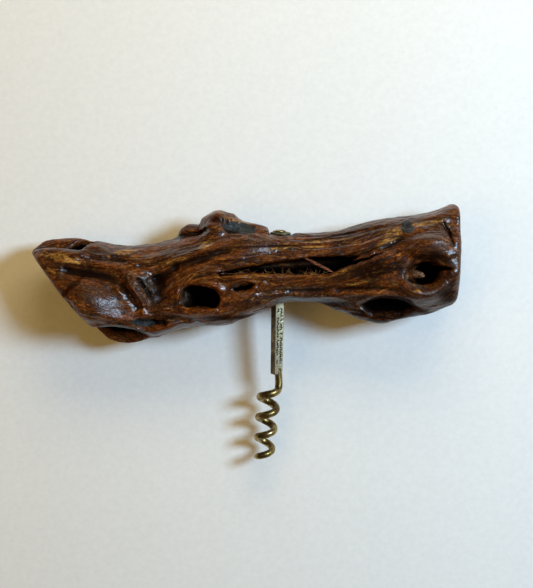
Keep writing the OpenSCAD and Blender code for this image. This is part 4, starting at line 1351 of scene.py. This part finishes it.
def wood_material():
    """Varnished root: the gloss is a coat, thin on sawn ends, bark and crests, gone deep down."""
    n = Nodes("varnished_vine_root")
    grain = n.attribute("grain", "Vector")
    hollow = n.attribute("hollow")
    sawn = n.attribute("sawn")
    polished = n.attribute("polished")
    flecks = n.noise(n.scaled(grain, (0.42, 1.30, 1.30)), 1.0, 4.0, 0.65, 0.4)
    colour = wood_colour(n, grain, wood_tone(n, grain, flecks), hollow)
    colour = n.mix(sawn, colour, end_grain(n))
    # Painted shade: points far below the filled-in skin (pockets, split, knot hole) are painted near black,
    # and the coat is taken off there too.
    painted_deep_shade = n.range(n.attribute("depth"), 1.1, 3.6)
    painted_deep_shade = n.math("MULTIPLY", painted_deep_shade, n.range(n.attribute("glow"), 0.0, 1.0, 1.0, 0.25))
    colour = n.mix(painted_deep_shade, colour, (0.0016, 0.0010, 0.0007, 1.0))

    waves = n.noise(n.scaled(grain, (0.22, 0.55, 0.55)), 1.0, 3.0, 0.5)
    dimples = n.noise(n.scaled(grain, (0.9, 1.25, 1.25)), 1.0, 2.0, 0.5)
    normal = n.bump(waves, 0.4, 0.0007)
    normal = n.bump(dimples, 0.6, 0.0004, normal)
    normal = n.bump(flecks, 0.6, 0.0004, normal)
    coat_normal = n.bump(waves, 0.12, 0.0007)
    coat_normal = n.bump(dimples, n.range(polished, 0.0, 1.0, 0.36, 0.52), 0.0004, coat_normal)

    matt = n.math("MAXIMUM", n.math("MULTIPLY", sawn, 0.7), n.math("MULTIPLY", n.attribute("bark"), 0.92))
    matt = n.math("MAXIMUM", matt, n.range(hollow, -0.36, -0.90, 0.0, 0.62))
    matt = n.math("MAXIMUM", matt, n.math("MULTIPLY", n.attribute("shade"), 0.95))
    open_skin = n.math("SUBTRACT", 1.0, n.math("MAXIMUM", painted_deep_shade, matt), clamp=True)
    return n.finish(Base_Color=colour, Roughness=n.range(flecks, 0.3, 0.7, 0.38, 0.55), Normal=normal,
                    Coat_Normal=coat_normal, Coat_Weight=n.math("MULTIPLY", open_skin, 0.95),
                    Coat_Roughness=n.range(polished, 0.0, 1.0, 0.285, 0.35), Coat_IOR=1.52,
                    Specular_IOR_Level=n.math("MULTIPLY", open_skin, 0.05))


def end_grain(n):
    """Growth rings and rays of the sawn ends, under a thin worn finish."""
    place = n.add("ShaderNodeTexCoord").outputs["Object"]
    split = n.add("ShaderNodeSeparateXYZ", {0: place})
    y = n.math("SUBTRACT", split.outputs["Y"], 0.006)
    z = n.math("ADD", split.outputs["Z"], 0.002)
    radius = n.math("SQRT", n.math("ADD", n.math("MULTIPLY", y, y), n.math("MULTIPLY", z, z)))
    wander = n.noise(place, 190.0, 4.0, 0.6)
    radius = n.math("ADD", radius, n.math("MULTIPLY", wander, 0.0042))
    rings = n.math("SINE", n.math("MULTIPLY", radius, 5200.0))
    rays = n.noise(n.scaled(place, (1.0, 1.0, 0.22)), 1700.0, 3.0, 0.6)
    tone = n.math("ADD", n.math("MULTIPLY", rings, 0.16), n.math("MULTIPLY", rays, 0.5))
    tone = n.math("ADD", tone, n.math("MULTIPLY", wander, 0.5))
    return n.ramp(tone, [(0.30, (0.018, 0.007, 0.003)), (0.52, (0.075, 0.032, 0.012)),
                         (0.78, (0.190, 0.098, 0.042))])


def bark_material():
    n = Nodes("grey_bark")
    place = n.attribute("place", "Vector")
    fibre = n.noise(n.scaled(place, (0.55, 2.6, 1.0)), 1.0, 5.0, 0.7)
    pits = n.noise(n.scaled(place, (1.8, 2.4, 1.0)), 1.0, 3.0, 0.6)
    tone = n.math("ADD", n.math("MULTIPLY", fibre, 0.6), n.math("MULTIPLY", pits, 0.4))
    colour = n.ramp(tone, [(0.36, (0.0035, 0.004, 0.0035)), (0.52, (0.022, 0.023, 0.021)),
                           (0.66, (0.085, 0.084, 0.076))])
    normal = n.bump(tone, 0.9, 0.0005)
    return n.finish(Base_Color=colour, Roughness=0.62, Normal=normal, Coat_Weight=0.15, Coat_Roughness=0.35,
                    Specular_IOR_Level=0.3)


def dead_knot_material():
    """Dark end grain with rings and a few checks."""
    n = Nodes("dead_knot")
    place = n.attribute("place", "Vector")
    rings = n.add("ShaderNodeTexWave",
                  {"Vector": n.scaled(place, (1.0, 1.0, 0.0)), "Scale": 0.55, "Distortion": 3.0,
                   "Detail": 3.0, "Detail Scale": 1.4},
                  wave_type="RINGS", rings_direction="Z").outputs["Fac"]
    grit = n.noise(n.scaled(place, (2.2, 2.2, 0.4)), 1.0, 4.0, 0.65)
    tone = n.math("ADD", n.math("MULTIPLY", rings, 0.4), n.math("MULTIPLY", grit, 0.6))
    colour = n.ramp(tone, [(0.25, (0.002, 0.0021, 0.002)), (0.50, (0.011, 0.0095, 0.0085)),
                           (0.75, (0.045, 0.038, 0.030))])
    return n.finish(Base_Color=colour, Roughness=0.5, Normal=n.bump(tone, 0.8, 0.0004), Coat_Weight=0.35,
                    Coat_Roughness=0.3, Specular_IOR_Level=0.3)


def stub_material():
    n = Nodes("broken_knot_stub")
    place = n.attribute("place", "Vector")
    tone = n.noise(n.scaled(place, (0.7, 1.5, 1.5)), 1.0, 6.0, 0.7, 1.0)
    colour = n.ramp(tone, [(0.36, (0.006, 0.003, 0.0015)), (0.48, (0.085, 0.028, 0.007)),
                           (0.62, (0.300, 0.125, 0.036))])
    return n.finish(Base_Color=colour, Roughness=0.55, Normal=n.bump(tone, 0.9, 0.0006), Coat_Weight=0.2,
                    Coat_Roughness=0.35, Specular_IOR_Level=0.3)


def sliver_material():
    n = Nodes("torn_wood")
    place = n.attribute("place", "Vector")
    tone = n.noise(n.scaled(place, (0.35, 4.5, 4.5)), 1.0, 5.0, 0.6)
    colour = n.ramp(tone, [(0.36, (0.030, 0.008, 0.0025)), (0.50, (0.135, 0.040, 0.012)),
                           (0.64, (0.290, 0.115, 0.042))])
    return n.finish(Base_Color=colour, Roughness=0.6, Normal=n.bump(tone, 0.8, 0.0003),
                    Specular_IOR_Level=0.25)


def hair_material():
    n = Nodes("root_hairs")
    place = n.add("ShaderNodeTexCoord").outputs["Object"]
    tone = n.noise(place, 260.0, 3.0)
    colour = n.ramp(tone, [(0.40, (0.020, 0.006, 0.002)), (0.52, (0.120, 0.046, 0.012)),
                           (0.64, (0.27, 0.145, 0.050))])
    return n.finish(Base_Color=colour, Roughness=0.6, Specular_IOR_Level=0.2)


def worm_material():
    """Worn plating: painted pale on the right-hand face as worn and lit, brass on the wire, brown-gold
    patina elsewhere that also stands for the shaded faces, darker in the punch marks.
    """
    n = Nodes("worn_plated_steel")
    place = n.add("ShaderNodeTexCoord").outputs["Object"]
    patina = n.noise(place, 240.0, 5.0, 0.6, 0.4)
    grit = n.noise(place, 1900.0, 4.0, 0.7)
    streak = n.noise(n.scaled(place, (1.0, 0.14, 1.0)), 1500.0, 4.0, 0.6)
    tone = n.math("ADD", n.math("MULTIPLY", patina, 0.6), n.math("MULTIPLY", grit, 0.25))
    tone = n.math("ADD", tone, n.math("MULTIPLY", streak, 0.15))
    brown = n.ramp(tone, [(0.38, (0.022, 0.011, 0.003)), (0.48, (0.075, 0.040, 0.010)),
                          (0.56, (0.17, 0.100, 0.028)), (0.66, (0.36, 0.26, 0.11))])
    brass = n.ramp(tone, [(0.38, (0.060, 0.034, 0.009)), (0.46, (0.20, 0.125, 0.036)),
                          (0.54, (0.44, 0.31, 0.110)), (0.66, (0.68, 0.55, 0.30))])
    pale = n.ramp(tone, [(0.38, (0.19, 0.14, 0.065)), (0.46, (0.50, 0.42, 0.24)),
                         (0.54, (0.76, 0.66, 0.45)), (0.66, (0.90, 0.82, 0.62))])
    # Painted light and wear together: pale on the lit, worn face, dark brown on the shaded faces.
    worn_and_lit = n.attribute("worn_and_lit")
    colour = n.mix(n.range(worn_and_lit, 0.0, 0.35), brown, brass)
    colour = n.mix(n.range(worn_and_lit, 0.35, 1.0), colour, pale)
    # Darker in the punch marks.
    colour = n.mix(n.range(n.attribute("punched"), 0.10, 0.55), colour, (0.016, 0.012, 0.007, 1.0))
    pits = n.noise(place, 3300.0, 3.0, 0.6)
    normal = n.bump(patina, 0.25, 0.0004)
    normal = n.bump(n.math("ADD", pits, streak), 0.35, 0.00006, normal)
    rough = n.range(tone, 0.40, 0.62, 0.46, 0.27)
    return n.finish(Base_Color=colour, Metallic=n.range(tone, 0.36, 0.46, 0.75, 1.0), Roughness=rough,
                    Normal=normal)


def washer_material():
    n = Nodes("tarnished_brass")
    place = n.add("ShaderNodeTexCoord").outputs["Object"]
    cloud = n.noise(place, 420.0, 5.0, 0.65)
    grit = n.noise(place, 2400.0, 3.0, 0.6)
    tone = n.math("ADD", n.math("MULTIPLY", cloud, 0.7), n.math("MULTIPLY", grit, 0.3))
    colour = n.ramp(tone, [(0.40, (0.026, 0.032, 0.018)), (0.50, (0.105, 0.095, 0.042)),
                           (0.62, (0.26, 0.22, 0.105))])
    return n.finish(Base_Color=colour, Metallic=n.range(tone, 0.42, 0.54, 0.1, 0.8), Roughness=0.55,
                    Normal=n.bump(grit, 0.5, 0.00012))


# --- Stage ---

VIEW_WIDTH = 223.9                # mm across the picture at the table
VIEW_TURN = math.radians(1.0)
CAMERA_HEIGHT = 600.0
PALE = (0.72, 0.71, 0.68)         # the surroundings, behind the table's edge


def build_stage():
    """A level sheet of pale paper, just under the object."""
    mesh = bpy.data.meshes.new("table_paper")
    size = 0.9  # metres from the middle to an edge
    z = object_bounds()[0][2] - 0.2 * MM
    corners = [(-size, -size, z), (size, -size, z), (size, size, z), (-size, size, z)]
    mesh.from_pydata(corners, [], [(0, 1, 2, 3)])
    n = Nodes("pale_paper")
    place = n.add("ShaderNodeTexCoord").outputs["Object"]
    fibre = n.noise(place, 420.0, 6.0, 0.7)
    colour = n.ramp(fibre, [(0.3, (0.76, 0.76, 0.75)), (0.7, (0.82, 0.82, 0.81))])
    # Far from the object the paper is lifted to the paleness of the surroundings.
    away = n.add("ShaderNodeVectorMath", {0: place}, operation="LENGTH").outputs["Value"]
    seen = n.add("ShaderNodeLightPath").outputs["Is Camera Ray"]
    lift = n.math("MULTIPLY", n.range(away, 0.24, 0.80, 0.0, 0.62), seen)
    mesh.materials.append(n.finish(Base_Color=colour, Roughness=0.9, Specular_IOR_Level=0.1,
                                   Normal=n.bump(fibre, 0.15, 0.0003), Emission_Color=(*PALE, 1.0),
                                   Emission_Strength=lift))
    table = bpy.data.objects.new("table_paper", mesh)
    bpy.context.scene.collection.objects.link(table)


def add_area_light(name, place, size, power, colour, target=(0.0, 0.0, 0.0)):
    """A rectangular light aimed at target: lengths in mm, power in watts."""
    light = bpy.data.lights.new(name, "AREA")
    light.shape = "RECTANGLE"
    light.size, light.size_y = size[0] * MM, size[1] * MM
    light.energy = power
    light.color = colour
    lamp = bpy.data.objects.new(name, light)
    bpy.context.scene.collection.objects.link(lamp)
    lamp.location = Vector(place) * MM
    lamp.rotation_euler = (Vector(target) * MM - lamp.location).to_track_quat("-Z", "Y").to_euler()
    return lamp


def build_world():
    """Dim surroundings: soft fill for the shadows, brown in reflections, pale behind the table."""
    world = bpy.data.worlds.new("room")
    world.use_nodes = True
    tree = world.node_tree
    tree.nodes.clear()
    path = tree.nodes.new("ShaderNodeLightPath")
    output = tree.nodes.new("ShaderNodeOutputWorld")

    def background(colour):
        node = tree.nodes.new("ShaderNodeBackground")
        node.inputs[0].default_value = (*colour, 1.0)
        return node.outputs[0]

    def choose(ray, otherwise, seen):
        node = tree.nodes.new("ShaderNodeMixShader")
        tree.links.new(path.outputs[ray], node.inputs[0])
        tree.links.new(otherwise, node.inputs[1])
        tree.links.new(seen, node.inputs[2])
        return node.outputs[0]

    shader = choose("Is Glossy Ray", background((0.132, 0.094, 0.046)), background((0.075, 0.050, 0.022)))
    shader = choose("Is Camera Ray", shader, background(PALE))
    tree.links.new(shader, output.inputs[0])
    bpy.context.scene.world = world


def build_lights():
    """A window high on the right, and two fills that don't show in the varnish."""
    build_world()
    add_area_light("window", (512, 136, 585), (180, 230), 7.1, (0.55, 0.775, 1.0))
    fills = [
        add_area_light("upper_fill", (60, 400, 320), (420, 200), 1.22, (1.0, 0.80, 0.46), (0, 60, 0)),
        add_area_light("room_fill", (-380, -60, 560), (500, 400), 0.92, (1.0, 0.60, 0.14)),
    ]
    for lamp in fills:
        lamp.visible_glossy = False
    bpy.context.scene.view_settings.view_transform = "Standard"


def build_camera():
    """Straight down on the object, turned a little."""
    camera = bpy.data.cameras.new("camera")
    camera.sensor_fit = "HORIZONTAL"
    camera.angle_x = 2.0 * math.atan(VIEW_WIDTH / 2.0 / CAMERA_HEIGHT)
    camera.clip_start = 0.01
    holder = bpy.data.objects.new("camera", camera)
    bpy.context.scene.collection.objects.link(holder)
    holder.location = Vector((VIEW_MIDDLE[0], VIEW_MIDDLE[1], CAMERA_HEIGHT)) * MM
    holder.rotation_euler = (0.0, 0.0, VIEW_TURN)
    bpy.context.scene.camera = holder


clay, *skin = build_handle()
build_bark(skin)
build_dead_knots(skin)
build_sliver()
build_root_hairs(clay)
build_worm()
build_washer()
build_stage()
build_lights()
build_camera()
